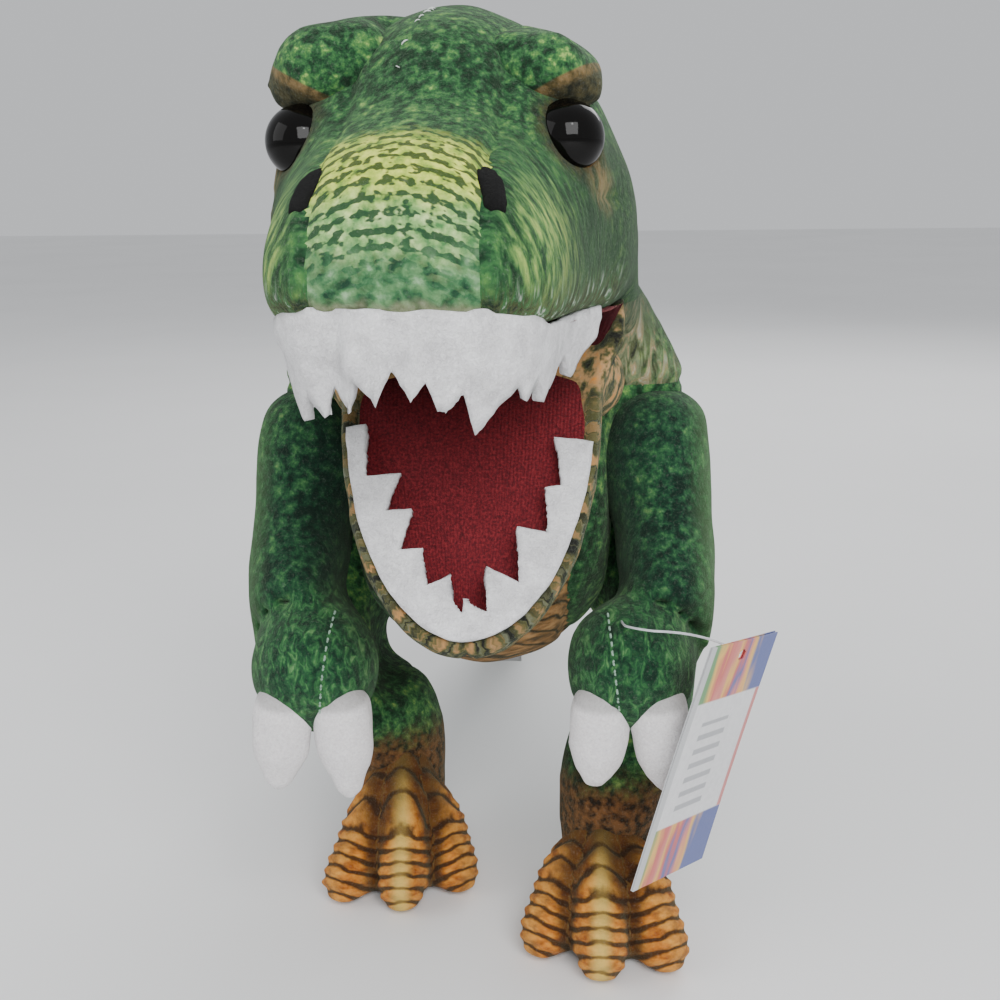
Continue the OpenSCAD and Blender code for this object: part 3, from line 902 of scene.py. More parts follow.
def thread_material(name, colour):
    shade = Shade(name, 0.75, Sheen_Weight=0.3)
    where = shade.point()
    ply = shade.node("ShaderNodeTexWave", {"Vector": where, "Scale": 1.4, "Distortion": 0.6},
                     wave_type="BANDS", bands_direction="DIAGONAL")
    shade.colour(shade.mix(ply * 0.4, colour, tuple(0.5 * c for c in colour)))
    shade.bump(ply, 0.0001)
    return shade.material


def card_material():
    """A coated card: a flame-like colour band at each end, and plain grey bars on white between them."""
    shade = Shade("tag_card", 0.38, Coat_Weight=0.25, Coat_Roughness=0.2)
    where = shade.point("cloth")
    across, down, _ = shade.axes(where)
    red, blue, sun = (0.50, 0.035, 0.020), (0.018, 0.045, 0.25), (0.70, 0.38, 0.02)
    pink, leaf, white = (0.58, 0.13, 0.10), (0.05, 0.22, 0.04), (0.68, 0.68, 0.69)
    flame = shade.noise(shade.stretch(where, (0.5, 0.1, 1.0)), 3.0, 2.0) * 16.0
    lean = across + flame + down * 0.06
    band = shade.ramp(shade.step(lean, -18.0, 32.0),
                      [(0.10, leaf), (0.18, sun), (0.26, red), (0.36, pink), (0.44, sun), (0.54, red),
                       (0.63, blue), (0.72, pink), (0.80, sun), (0.90, blue)])
    band = shade.mix(0.05, band, white)
    grain = shade.noise(where, 2.0, 4.0)
    paper = shade.ramp(grain, [(0.3, (0.60, 0.60, 0.61)), (0.7, white)])
    inside = shade.step(down, 20.0, 20.8) * shade.step(down, 66.6, 65.8)
    colour = shade.mix(inside, band, paper)
    # Plain bars where a card is usually printed
    bar_middle = -3.0
    bars = shade.step(abs(across - bar_middle), 9.0, 8.6) * shade.step(shade.stripe(down / 5.2), 0.24, 0.16)
    shown = shade.step(down, 28.0, 28.4) * shade.step(down, 61.4, 61.0)
    colour = shade.mix(bars * shown * 0.7, colour, (0.22, 0.23, 0.25))
    edge = shade.step(across, 19.8, 20.3)
    colour = shade.mix(edge * (inside * 0.8), colour, red)
    colour = shade.mix(shade.step(across, -19.2, -19.8), colour, (0.45, 0.46, 0.47))
    shade.colour(colour)
    shade.bump(grain, 0.00006)
    return shade.material


def nylon_material():
    shade = Shade("clear_nylon", 0.22, Transmission_Weight=0.45, IOR=1.5)
    where = shade.node("ShaderNodeTexCoord", output="Object")
    cloud = shade.noise(shade.stretch(where, (1000, 1000, 1000)), 2.0, 3.0)
    shade.colour(shade.ramp(cloud, [(0.3, (0.72, 0.75, 0.78)), (0.7, (0.86, 0.88, 0.90))]))
    shade.bump(cloud, 0.00005)
    return shade.material


def satin_material():
    shade = Shade("label_satin", 0.45, Sheen_Weight=0.3)
    where = shade.point()
    weave = shade.node("ShaderNodeTexWave", {"Vector": where, "Scale": 2.2}, wave_type="BANDS",
                       bands_direction="Z")
    shade.colour(shade.mix(weave * 0.35, (0.8, 0.8, 0.81), (0.62, 0.62, 0.64)))
    shade.bump(weave, 0.0001)
    return shade.material


def floor_material():
    shade = Shade("floor", 0.85)
    where = shade.node("ShaderNodeTexCoord", output="Object")
    shade.colour(shade.ramp(shade.noise(where, 0.4, 3.0),
                            [(0.3, (0.80, 0.80, 0.80)), (0.7, (0.84, 0.84, 0.84))]))
    return shade.material


MATERIALS = {
    "body": body_material(), "head": head_material(), "brow": brow_material(), "snout": snout_material(),
    "throat": throat_material(), "jaw": jaw_material(), "arm": arm_material(), "belly": belly_material(),
    "leg": leg_material(), "foot": foot_material(), "sole": sole_material(), "lining": lining_material(),
    "felt": felt_material("white_felt", (0.86, 0.86, 0.87), (0.50, 0.49, 0.50)),
    "nostril": felt_material("black_felt", (0.012, 0.012, 0.012), (0.003, 0.003, 0.003), 1.2, 0.02),
    "claw": claw_material(), "eye": eye_material(),
    "thread": thread_material("topstitch", (0.30, 0.48, 0.36)),
    "lint": thread_material("lint", (0.80, 0.84, 0.80)),
    "card": card_material(), "nylon": nylon_material(), "satin": satin_material(),
}


def finish_piece(piece, material, printed=None):
    """Gives a piece its material, slot and print coordinates."""
    piece.data.materials.clear()
    piece.data.materials.append(MATERIALS[material])
    if "print" not in piece.data.attributes:
        note(piece, "print", get(piece) if printed is None else printed(get(piece)))
    return piece


# ---- camera, at the photograph's angle ----

def add_camera():
    azimuth, elevation, roll = math.radians(2.3), math.radians(14.1), math.radians(-0.6)
    distance, target = 420.5, np.array([8.4, -104.1, 178.3])
    back = np.array([math.sin(azimuth) * math.cos(elevation), -math.cos(azimuth) * math.cos(elevation),
                     math.sin(elevation)])
    right = np.cross([0, 0, 1], back)
    right /= np.linalg.norm(right)
    up = np.cross(back, right)
    rolled = right * math.cos(roll) + up * math.sin(roll), up * math.cos(roll) - right * math.sin(roll)
    data = bpy.data.cameras.new("camera")
    data.sensor_width, data.lens = 36, 46.8
    data.clip_start = 0.01
    camera = place_object("camera", data)
    at = metres(target + back * distance)
    camera.matrix_world = Matrix([(rolled[0][i], rolled[1][i], back[i], at[i]) for i in range(3)]
                                 + [(0, 0, 0, 1)])
    bpy.context.scene.camera = camera


# ---- body, neck, head and tail: one inflated form, cut into its panels along the seams ----

NECK_SEAM_Z = 207         # base of the neck
TAIL_SEAM_Y = 66          # where the tail is sewn on
SNOUT_HALF = 22           # half-width of the snout panel
SNOUT_BACK = -122         # the snout panel's rear end
BELLY_HALF = 31           # half-width of the belly panel
BELLY_Y = -30             # the belly panel lies in front of this
THROAT_Y = -84            # and the neck's skin behind this, under the palate
COVER_OUT = 1.2           # the plush stands this far outside the CAD's stuffing
EYE_LOOK = 37             # degrees that each eye looks outward


def lip_height(q):
    """Height of the lip's edge, on a head that looks straight ahead: it rises at the front."""
    return PALATE_Z + 6.0 * smoothstep(-q[:, 1], 166, 190)


def body_form():
    grid = Grid((-78, -214, -10), (78, 304, 346))
    p = grid.points
    q = to_head(p)
    torso = join(grid.cad("torso_stuffing") - COVER_OUT, ball(p, (0, 24, 148), (53, 62, 50)), 10)
    neck = ball(p, (0, -36, 224), (56, 28, 30))
    torso = join(torso, neck, 8)
    for s in (-1, 1):
        torso = join(torso, bone(p, (s * 46, -40, 232), (s * 60, -36, 206), 15, 16), 8)
    head = grid.cad("head_stuffing") - COVER_OUT
    for s in (-1, 1):
        head = join(head, ball(q, (s * 36, -134, 288), (13, 14, 13)), 6)
        head = join(head, ball(q, (s * 40, -106, 262), (15, 24, 26)), 8)
    head = join(head, bone(q, (2, -96, 302), (2, -128, 304), 26, 20), 10)
    tail = grid.cad("tail_stuffing", "tail_pellets") - COVER_OUT
    tail = join(tail, ball(p, (0, 66, 132), (31, 22, 33)), 8)
    distance = join(join(torso, head, 7), tail, 12)
    distance = grid.blur(distance, 2)
    mouth = np.maximum(q[:, 2] - lip_height(q), q[:, 1] + 81)
    distance = carve(distance, mouth, 3)
    # Hollows that the eyes sit in
    for s in (-1, 1):
        look = np.array([s * math.sin(math.radians(EYE_LOOK)), -math.cos(math.radians(EYE_LOOK)), 0.17])
        distance = carve(distance, ball(q, EYE * (s, 1, 1) + look * 7, (11.5, 11.5, 11.5)), 3)
    return grid, distance


def body_seams(p):
    """Holds the cloth at the panels' seams, the lip and the foot of the tail."""
    q = to_head(p)
    neck = bell(p[:, 2] - NECK_SEAM_Z, 4)
    tail = bell(p[:, 1] - TAIL_SEAM_Y, 5)
    snout = bell(np.abs(q[:, 0]) - SNOUT_HALF, 4) * (q[:, 1] < SNOUT_BACK)
    lip = bell(q[:, 2] - lip_height(q), 5) * (q[:, 1] < -80)
    back = bell(p[:, 0], 3) * (p[:, 1] > 0)
    eyes = sum(bell(np.linalg.norm(q - EYE * (s, 1, 1), axis=1) - 10, 6) for s in (-1, 1))
    return np.clip(neck + tail + snout + lip + 0.7 * back + eyes, 0, 1)


SNOUT_PROFILE = np.array([(-100, 330), (-118, 327), (-132, 319), (-146, 305), (-160, 299), (-174, 293),
                          (-186, 283), (-192, 270), (-194, 255), (-193, 240)], float)


def snout_cloth(p):
    """Where each point of the snout lies on its flat panel: across, and down from the crown."""
    q = to_head(p)
    run = run_along(SNOUT_PROFILE)
    best = np.full(len(q), 1e9)
    down = np.zeros(len(q))
    for i, (a, b) in enumerate(zip(SNOUT_PROFILE[:-1], SNOUT_PROFILE[1:])):
        ab = b - a
        t = np.clip(((q[:, 1:] - a) @ ab) / (ab @ ab), 0, 1)
        far = np.linalg.norm(q[:, 1:] - a - t[:, None] * ab, axis=1)
        closer = far < best
        best[closer] = far[closer]
        down[closer] = (run[i] + t * np.linalg.norm(ab))[closer]
    return np.column_stack([q[:, 0], down, np.zeros(len(q))])


def build_body():
    grid, distance = body_form()
    whole = stuffed("whole", grid, distance, body_seams, cap=3.0)
    for s in (-1, 1):
        cut(whole, from_head([s * SNOUT_HALF, -150, 280]), HEAD @ np.array([1, 0, 0]))
        cut(whole, (s * BELLY_HALF, -60, 150), (1, 0, 0))
    cut(whole, from_head([0, SNOUT_BACK, 300]), HEAD @ np.array([0, 1, 0]))
    cut(whole, (0, 0, NECK_SEAM_Z), (0, 0, 1))
    cut(whole, (0, 0, PALATE_Z), (0, 0, 1))
    cut(whole, (0, TAIL_SEAM_Y, 0), (0, 1, 0))
    cut(whole, (0, BELLY_Y, 0), (0, 1, 0))
    p = get(whole)
    q = to_head(p)
    # Seams draw the cloth in
    front = smoothstep(-q[:, 1], -SNOUT_BACK + 2, -SNOUT_BACK + 16) * (q[:, 2] > PALATE_Z + 2)
    sink = 1.5 * bell(np.abs(q[:, 0]) - SNOUT_HALF, 2.2) * front
    sink += 1.4 * bell(p[:, 2] - NECK_SEAM_Z, 2.4) * (p[:, 1] < 60)
    sink += 1.8 * bell(p[:, 1] - TAIL_SEAM_Y, 2.6)
    back = (p[:, 1] > -40) & (p[:, 2] > 60) | (p[:, 1] > TAIL_SEAM_Y)
    sink += 1.0 * bell(p[:, 0], 1.8) * back
    low = (p[:, 1] < BELLY_Y) & (p[:, 2] < NECK_SEAM_Z) & (p[:, 2] > 60)
    sink += 1.4 * bell(np.abs(p[:, 0]) - BELLY_HALF, 2.2) * low
    # Short crease behind each eye's lower corner
    for s in (-1, 1):
        near = np.linalg.norm((q - np.array([s * 50, -128, 274])) * (0.5, 0.35, 1.6), axis=1)
        sink += 1.6 * bell(near, 3.0)
    put(whole, p - normals(whole) * sink[:, None])
    wrinkle(whole, 0.35, 14, 3)
    surface = tree(whole)

    def is_tail(c):
        return c[:, 1] > TAIL_SEAM_Y

    def is_head(c):
        return (c[:, 2] > NECK_SEAM_Z) & ~is_tail(c)

    def is_neck(c):
        return is_head(c) & (c[:, 2] < PALATE_Z) & (to_head(c)[:, 1] > THROAT_Y)

    def is_snout(c):
        q = to_head(c)
        return (is_head(c) & (np.abs(q[:, 0]) < SNOUT_HALF) & (q[:, 1] < SNOUT_BACK)
                & (q[:, 2] > PALATE_Z + 4))

    def is_belly(c):
        return (np.abs(c[:, 0]) < BELLY_HALF) & (c[:, 1] < BELLY_Y) & (c[:, 2] < NECK_SEAM_Z)

    torso = part(whole, "torso_cover", lambda c: ~is_tail(c) & ~is_head(c) & ~is_belly(c))
    belly = part(whole, "belly_cover", is_belly)
    neck = part(whole, "neck_cover", is_neck)
    head = part(whole, "head_cover", lambda c: is_head(c) & ~is_neck(c) & ~is_snout(c))
    snout = part(whole, "snout_cover", is_snout)
    tail = part(whole, "tail_cover", is_tail)
    bpy.data.objects.remove(whole)

    finish_piece(torso, "body")
    finish_piece(belly, "belly")
    finish_piece(neck, "throat")
    finish_piece(head, "head", to_head)
    finish_piece(snout, "snout", to_head)
    note(snout, "cloth", snout_cloth(get(snout)))
    finish_piece(tail, "body")
    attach(torso, "torso")
    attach(belly, "torso")
    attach(head, "head")
    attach(snout, "head")
    metres((0, -36, 210))
    metres((0, -36, 236))
    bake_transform(neck)
    metres((0, 68, 130))
    metres((0, 112, 130))
    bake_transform(tail)
    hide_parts("torso_skin", "torso_stuffing")
    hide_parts("belly_panel")
    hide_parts("neck_skin")
    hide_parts("head_skin", "head_stuffing", "eye_washer_left", "eye_washer_right")
    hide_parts("snout_panel")
    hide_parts("tail_skin", "tail_stuffing", "tail_pellets")
    return surface


# ---- face ----

BROW_LIFT = {"left": (0, 0, 0), "right": (0.5, -0.5, 1.8)}    # the right brow sits a little higher
BROW_GROW = {"left": 0, "right": 1.6}                         # and is stuffed fuller


def build_brows():
    for s, side in SIDES:
        grid = Grid((-90, -170, 270), (90, -80, 345), 3)
        q = to_head(grid.points) * (s, 1, 1) - BROW_LIFT[side]
        ridge = join(bone(q, (20, -130, 311.5), (34, -133, 309.5), 8.0, 7.6),
                     bone(q, (34, -133, 309.5), (37.5, -118, 306.5), 7.6, 8.0), 5)
        ridge = join(ridge, bone(q, (37.5, -118, 306.5), (33, -96, 304), 8.0, 8.5), 6)
        ridge = join(ridge, bone(q, (10, -112, 314), (26, -117, 312), 9, 9), 8)
        ridge = join(ridge, bone(q, (29, -134, 305), (42, -128, 303.5), 6.0, 6.0), 5)
        brow = stuffed(f"brow_cover_{side}", grid, ridge - BROW_GROW[side], cap=1.5, smooth=4)
        local = to_head(get(brow)) * (s, 1, 1)
        wrinkle(brow, 0.3, 9, 11 + s)
        finish_piece(brow, "brow", to_head)
        note(brow, "under", 302 + 0.5 * (local[:, 0] - 28) - local[:, 2])
        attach(brow, "head")
        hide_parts(f"brow_{side}")


def build_eyes():
    """A dome with a flat back rim, turned to where each eye looks."""
    rings, spokes = 26, 64
    for s, side in SIDES:
        reach = np.sin(np.linspace(0, math.pi / 2, rings))
        dome_h, tilt = 8.0, 80
        r = EYE_R * reach
        big = (EYE_R ** 2 + dome_h ** 2) / (2 * dome_h)
        h = np.sqrt(np.maximum(big ** 2 - r ** 2, 0)) - (big - dome_h) - 3
        r = np.concatenate([r, [EYE_R + 0.25, EYE_R + 0.25, EYE_R - 0.6]])
        h = np.concatenate([h, [-3.3, -4.4, -5.0]])
        mark = np.concatenate([reach, [0, 0, 0]])
        angle = 2 * math.pi * np.arange(spokes) / spokes
        local = np.array([(ri * math.cos(a), ri * math.sin(a), hi) for ri,
                          hi in zip(r[1:], h[1:]) for a in angle])
        local = np.vstack([local, (0, 0, h[0]), (0, 0, h[-1])])
        n = len(r) - 1
        faces = [(k * spokes + i, (k + 1) * spokes + i, (k + 1) * spokes + (i + 1) % spokes,
                  k * spokes + (i + 1) % spokes)
                 for k in range(n - 1) for i in range(spokes)]
        top, bottom = n * spokes, n * spokes + 1
        faces += [(top, i, (i + 1) % spokes) for i in range(spokes)]
        faces += [(bottom, (n - 1) * spokes + (i + 1) % spokes, (n - 1) * spokes + i) for i in range(spokes)]
        placed = local @ (turn("Z", s * EYE_LOOK) @ turn("X", tilt)).T + EYE * (s, 1, 1)
        eye = make(f"eye_dome_{side}", from_head(placed), faces)
        note(eye, "reach", np.concatenate([np.repeat(mark[1:], spokes), [0, 1]]))
        finish_piece(eye, "eye", to_head)
        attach(eye, "head")
        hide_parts(f"eye_{side}")


def on_surface(surface, centre, aim, across, up, lift):
    """A point off centre by across and up in a plane that faces aim, dropped onto the surface."""
    side = np.cross([0, 0, 1], aim)
    side /= np.linalg.norm(side)
    rise = np.cross(aim, side)
    start = np.array(centre) + side * across + rise * up + np.array(aim) * 25
    place, normal = hit(surface, start, -np.array(aim))
    return None if place is None else place + normal * lift


def build_nostrils(surface):
    """Ovals of black felt glued on beside the snout's seams."""
    rings, spokes = 6, 36
    for s, side in SIDES:
        aim = HEAD @ np.array([s * 0.42, -0.86, 0.30])
        aim /= np.linalg.norm(aim)
        centre = from_head([s * 23.5, -181, 277])
        points = []
        for k in range(rings + 1):
            for i in range(spokes):
                a = 2 * math.pi * i / spokes
                ragged = 1 + 0.05 * math.sin(5 * a + s) + 0.04 * math.sin(9 * a)
                share = k / rings
                lift = 0.9 * (1 - share ** 6) + 0.1
                wide, tall = (abs(f) ** 0.6 * math.copysign(1, f) for f in (math.cos(a), math.sin(a)))
                spot = on_surface(surface, centre, aim, 3.2 * share * ragged * wide,
                                  6.6 * share * ragged * tall, lift)
                points.append(centre if spot is None else spot)
        faces = [(k * spokes + i, k * spokes + (i + 1) % spokes, (k + 1) * spokes + (i + 1) % spokes,
                  (k + 1) * spokes + i)
                 for k in range(1, rings) for i in range(spokes)]
        points[0:spokes] = [points[0]] * spokes
        faces += [(0, spokes + (i + 1) % spokes, spokes + i)[::-1] for i in range(spokes)]
        nostril = make(f"nostril_felt_{side}", np.array(points), faces)
        clean(nostril)
        thicken(nostril, 1.2, -1)
        settle(nostril)
        finish_piece(nostril, "nostril")
        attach(nostril, "head")
        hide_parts(f"nostril_{side}")


def clean(piece):
    """Removes loose points and doubled points, and turns faces outward."""
    bm = bmesh.new()
    bm.from_mesh(piece.data)
    bmesh.ops.remove_doubles(bm, verts=bm.verts, dist=0.00001)
    bmesh.ops.delete(bm, geom=[v for v in bm.verts if not v.link_faces], context="VERTS")
    bmesh.ops.recalc_face_normals(bm, faces=bm.faces)
    bm.to_mesh(piece.data)
    bm.free()
    shade_smooth(piece.data)


# ---- mouth ----

FELT_THICK = 2.4


def cut_felt(name, points, columns, waves):
    """A zigzag strip of soft felt, and its cut area. Each wave is (depth, size, seed)."""
    felt = make(name, points, sheet_faces(len(points) // columns, columns))
    area = sum(p.area for p in felt.data.polygons)
    thicken(felt, FELT_THICK)
    edge = felt.modifiers.new("edge", "BEVEL")
    edge.width, edge.segments, edge.limit_method = 0.7 * MM, 2, "ANGLE"
    settle(felt)
    clean(felt)
    for wave in waves:
        wrinkle(felt, *wave)
    return felt, area


def felt_turns(edge, count, fray, seed):
    """Turns along a cut edge, the depth of the cut at each, a little frayed, and the marked depths."""
    marks, depths = np.array(edge, float).T
    turns = np.unique(np.concatenate([np.linspace(marks[0], marks[-1], count), marks]))
    return turns, np.interp(turns, marks, depths) + np.random.default_rng(seed).normal(0, fray,
                                                                                       len(turns)), depths


LIP_CENTRE = np.array([0, -128, 0])
LIP_END = 128             # degrees from the front round to the corner of the mouth
RIM_END = 86              # degrees from the jaw's tip round to the end of its rim


class Lip:
    """The lip's edge, found on the head's surface and read by the angle round the mouth."""

    def __init__(self, surface):
        self.turns = np.arange(-LIP_END - 8, LIP_END + 9, 4.0)
        reach = []
        for t in self.turns:
            out = np.array([math.sin(math.radians(t)), -math.cos(math.radians(t)), 0])
            start = LIP_CENTRE + out * 100
            start[2] = lip_height((LIP_CENTRE + out * 55)[None])[0] + 6
            place, _ = hit(surface, from_head(start), HEAD @ -out)
            reach.append(45.0 if place is None else np.linalg.norm(to_head(place)[:2] - LIP_CENTRE[:2]))
        reach = np.array(reach)
        for _ in range(3):
            reach = np.convolve(np.pad(reach, 1, mode="edge"), [0.25, 0.5, 0.25], "valid")
        self.reach = reach

    def at(self, degrees, inset, z=0.0):
        """Points on a head that looks straight ahead. z is measured from the lip's height."""
        degrees = np.atleast_1d(np.asarray(degrees, float))
        r = np.interp(degrees, self.turns, self.reach) - inset
        a = np.radians(degrees)
        p = LIP_CENTRE + np.column_stack([np.sin(a) * r, -np.cos(a) * r, np.zeros(len(a))])
        p[:, 2] = lip_height(p) + z
        return p


# The cut edge of the upper felt, from the toy's right to its left: turn round the mouth, and depth
# below the lip
UPPER_EDGE = [(-118, 13), (-111, 17), (-104, 13), (-96, 20), (-88, 15), (-80, 22), (-72, 17), (-62, 24),
              (-54, 18), (-42, 25), (-36, 19), (-30, 24), (-25, 18.5), (-20, 24.5), (-16, 16.5), (-13, 24.5),
              (-9, 14), (-6, 22), (-2, 12.5), (3, 20.5), (7, 15), (9.5, 22.5), (11.5, 22.5), (16, 18),
              (19, 28), (29.5, 15.5), (32.5, 18), (36.5, 11.5), (42, 17.5), (50, 11.5), (60, 17), (71, 9),
              (86, 16), (97, 5)]


def build_upper_teeth(lip):
    turns, cuts, depths = felt_turns(UPPER_EDGE, 330, 0.16, 5)
    rows, sewn = 9, 3.0
    pleat = 6.0 * bell(turns + 8.5, 3.6) - 2.2 * bell(turns - 1, 5.0) + 2.0 * bell(turns - 24, 9.0)
    points = []
    for t, depth, out in zip(turns, cuts, pleat):
        slope = 0.16 + 0.20 * abs(math.sin(math.radians(t)))
        for down in np.linspace(-sewn, depth, rows):
            sway = out * math.sin(math.pi * min(1, max(0, down) / 24 + 0.1))
            root = 2.2 + 1.6 * smoothstep(t, 25, 60)
            lean = root + slope * max(0, down) + 0.5 * math.sin(math.radians(t * 7)) * max(0, down) / 12
            points.append(lip.at(t, lean - sway, -down)[0])
    felt, cut = cut_felt("upper_teeth_felt", from_head(points), rows, [(0.8, 11, 21), (0.3, 4, 23)])
    finish_piece(felt, "felt", to_head)
    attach(felt, "head")
    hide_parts("upper_teeth")
    length = steps(lip.at(turns, 1.4)).sum() * MM


def rim(degrees, inset=0.0):
    """The jaw's rounded rim on a level jaw: 0 is the tip, 90 the toy's left cheek."""
    degrees = np.atleast_1d(np.asarray(degrees, float))
    a = np.radians(degrees)
    half, length, power = 42.5, 104.0, 0.77

    def place(a):
        return np.column_stack([half * np.sin(a), -length * np.maximum(np.cos(a), 1e-6) ** power])

    along = place(a + 0.01) - place(a - 0.01)
    along /= np.linalg.norm(along, axis=1)[:, None]
    p = place(a) + np.column_stack([-along[:, 1], along[:, 0]]) * inset
    return np.column_stack([p, np.zeros(len(p))])


# The inner edge of the lower felt, from the toy's right to its left: turn along the rim, and inset from it.
# Each tooth has a flat upper edge, then slants back to the strip.
LOWER_EDGE = [(-78, 10), (-68, 8.5), (-67, 18.5), (-59, 12.5), (-57, 20), (-48, 13), (-45.5, 19.5),
              (-32, 14.5),
              (-29, 22), (-13, 15.5), (-1.5, 13), (1, 17.5), (17, 12), (33, 22), (36.5, 12), (52, 20), (53.5,
                                                                                                        11),
              (64, 15.5), (65.3, 10.7), (75.2, 15.5)]


def build_lower_teeth():
    turns, cuts, insets = felt_turns(LOWER_EDGE, 300, 0.15, 9)
    columns, outer = 8, 3.2
    points = []
    for t, inner in zip(turns, cuts):
        sewn = outer + 2.0 * math.cos(math.radians(t)) ** 2
        for inset in np.linspace(sewn, inner, columns):
            rise = 3.0 + 0.13 * (inset - outer) + 0.05 * math.sin(t * 0.31) * (inset - outer)
            points.append(rim(t, inset)[0] + (0, 0, rise))
    felt, cut = cut_felt("lower_teeth_felt", from_jaw(points), columns, [(0.5, 11, 22), (0.25, 4, 24)])
    finish_piece(felt, "felt", to_jaw)
    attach(felt, "jaw")
    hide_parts("lower_teeth")
    length = steps(rim(turns, outer)).sum() * MM


def build_lining(lip):
    """One red cloth from the lip, over the palate and down the throat, to the jaw's tip."""
    rows = []
    for t in np.linspace(3, LIP_END, 22):
        rows.append((*from_head(lip.at([t, -t], 3.2, 0.8)), np.array([0, 0, 1.0])))
    corner_left, corner_right, _ = rows[-1]

    def on_rim(t):
        return from_jaw(rim(t, 3.5) + (0, 0, 1.5))[0]

    start_left, start_right = on_rim(RIM_END), on_rim(-RIM_END)
    for share in np.linspace(0, 1, 8)[1:-1]:
        bow = math.sin(math.pi * share)
        rows.append((corner_left + (start_left - corner_left) * share + np.array([-1, 3, 0]) * bow,
                     corner_right + (start_right - corner_right) * share + np.array([1, 3, 0]) * bow,
                     np.array([0, 7.0 + 3 * bow, 0])))
    for t in np.linspace(RIM_END, 2, 34):
        sink = -4.5 * smoothstep(90 - t, 0, 30)
        normal = JAW @ np.array([0, 0, 1])
        rows.append((on_rim(t), on_rim(-t),
                     normal * sink + np.array([0, 4, 1]) * smoothstep(t, 70, 90)))
    columns = 41
    u = np.linspace(-1, 1, columns)
    bowl = (1 - np.abs(u) ** 2.6)[:, None]
    points = np.array([(a + b) / 2 + (b - a) / 2 * u[:, None] + sag * bowl for a, b, sag in rows])
    for _ in range(3):
        points[1:-1, 1:-1] = (points[:-2, 1:-1] + 2 * points[1:-1, 1:-1] + points[2:, 1:-1]) / 4
    cloth = np.array([(v * 30, k * 3.2, 0) for k in range(len(rows)) for v in u])
    flat = points.reshape(-1, 3)
    lining = make("mouth_lining", flat, sheet_faces(len(rows), columns))
    note(lining, "cloth", cloth)
    # depth sets the lining's painted shade deep in the throat
    note(lining, "depth", smoothstep(flat[:, 2], 196, 240) * smoothstep(flat[:, 1], -150, -95))
    finish_piece(lining, "lining")
    metres((0, -88, 238))
    metres((0, -84, 214))
    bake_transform(lining)
    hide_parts("jaw_lining", "palate_lining")


def jaw_cloth(p):
    """Where a point lies on the jaw's print: along the rim, and down from its upper edge."""
    local = to_jaw(p)
    turns = np.arange(-92, 93, 2.0)
    edge = rim(np.clip(turns, -89, 89), 2.5)
    run = run_along(edge)
    far = np.linalg.norm(local[:, None, :2] - edge[None, :, :2], axis=2)
    nearest = far.argmin(axis=1)
    level = np.where(far.min(axis=1) > 4, far.min(axis=1), 0)
    return np.column_stack([run[nearest], level + np.maximum(0, 2 - local[:, 2]), np.zeros(len(p))])


def build_jaw():
    grid = Grid((-60, -180, 120), (60, -50, 262), 3)
    p = grid.points
    j = to_jaw(p)
    bowl = grid.cad("jaw_stuffing") - 1.5
    bowl = grid.blur(bowl, 2)
    bowl = np.maximum(bowl, j[:, 2] - 0.5)
    hollow = ball(j, (0, -42, 8), (37, 60, 20))
    bowl = carve(bowl, hollow, 3)
    # The rolled rim, which runs on up into the cheeks at both ends
    turns = np.linspace(-RIM_END, RIM_END, 60)
    path = rim(turns, 3.2) + (0, 0, 1.2)
    ends = [np.array([[s * 46, 3, 0], [s * 47, 16, -2]]) for s in (-1, 1)]
    path = np.vstack([ends[0][::-1], path, ends[1]])
    roll = np.full(len(p), 50.0)
    near = np.abs(j[:, 2]) < 16
    for a, b in zip(path[:-1], path[1:]):
        roll[near] = np.minimum(roll[near],
                                bone(j[near], a, b, *(3.0 if e[1] < -3 else 4.0 for e in (a, b))))
    distance = join(bowl, roll, 2.5)
    # The throat's gusset joins the jaw to the neck
    throat = join(bone(p, (-34, -84, 214), (34, -84, 214), 15, 15),
                  bone(p, (-36, -66, 212), (36, -66, 212), 15, 15), 8)
    throat = np.maximum(throat, -(p[:, 1] + 98) * 0.6 + (p[:, 2] - 232) * 0.8)
    distance = join(distance, throat, 6)
    mouth = ball(p, (0, -104, 238), (41, 20, 12))
    distance = carve(distance, mouth, 3)

    def held(points):
        local = to_jaw(points)
        return np.clip(smoothstep(local[:, 2], -5, 0) + smoothstep(points[:, 1], -92, -80), 0, 1)

    jaw = stuffed("jaw_cover", grid, distance, held, cap=2.5, smooth=3)
    local = to_jaw(get(jaw))
    # A small notch at the tip, where the rim's seam ends meet
    notch = bell(local[:, 0], 1.6) * bell(local[:, 1] + 103, 5)
    put(jaw, get(jaw) - normals(jaw) * (1.6 * notch)[:, None])
    wrinkle(jaw, 0.25, 8, 31)
    finish_piece(jaw, "jaw", to_jaw)
    note(jaw, "cloth", jaw_cloth(get(jaw)))
    metres((0, -76, 222))
    metres((0, -100, 210))
    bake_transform(jaw)
    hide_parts("jaw_skin", "jaw_stuffing")


# ---- limbs ----

HAND, HAND_R = np.array([55.5, -95, 119]), np.array([22, 25.5, 24])
CLAW_ROOTS = {"inner": (45, 3), "outer": (65, -6)}      # place across the hand, and lean in degrees
REACH_IN = {"left": 4, "right": 0}                      # the left hand sits this much nearer the middle


def stitches(name, path, surface_normals, length=1.7, gap=1.5, thick=0.38):
    """A row of short thread stitches along a path."""
    run = run_along(path)
    made, at = [], 0.6
    while at + length < run[-1]:
        spots = np.linspace(at, at + length, 6)
        p = np.array([np.interp(spots, run, path[:, k]) for k in range(3)]).T
        n = np.array([np.interp(spots, run, surface_normals[:, k]) for k in range(3)]).T
        lift = np.sin(np.linspace(0, math.pi, 6))[:, None] * 0.6 - 0.15
        made.append(tube("", p + n * lift, thick * np.array([0.7, 1, 1, 1, 1, 0.7]), 6))
        at += length + gap
    return join_meshes(name, made)


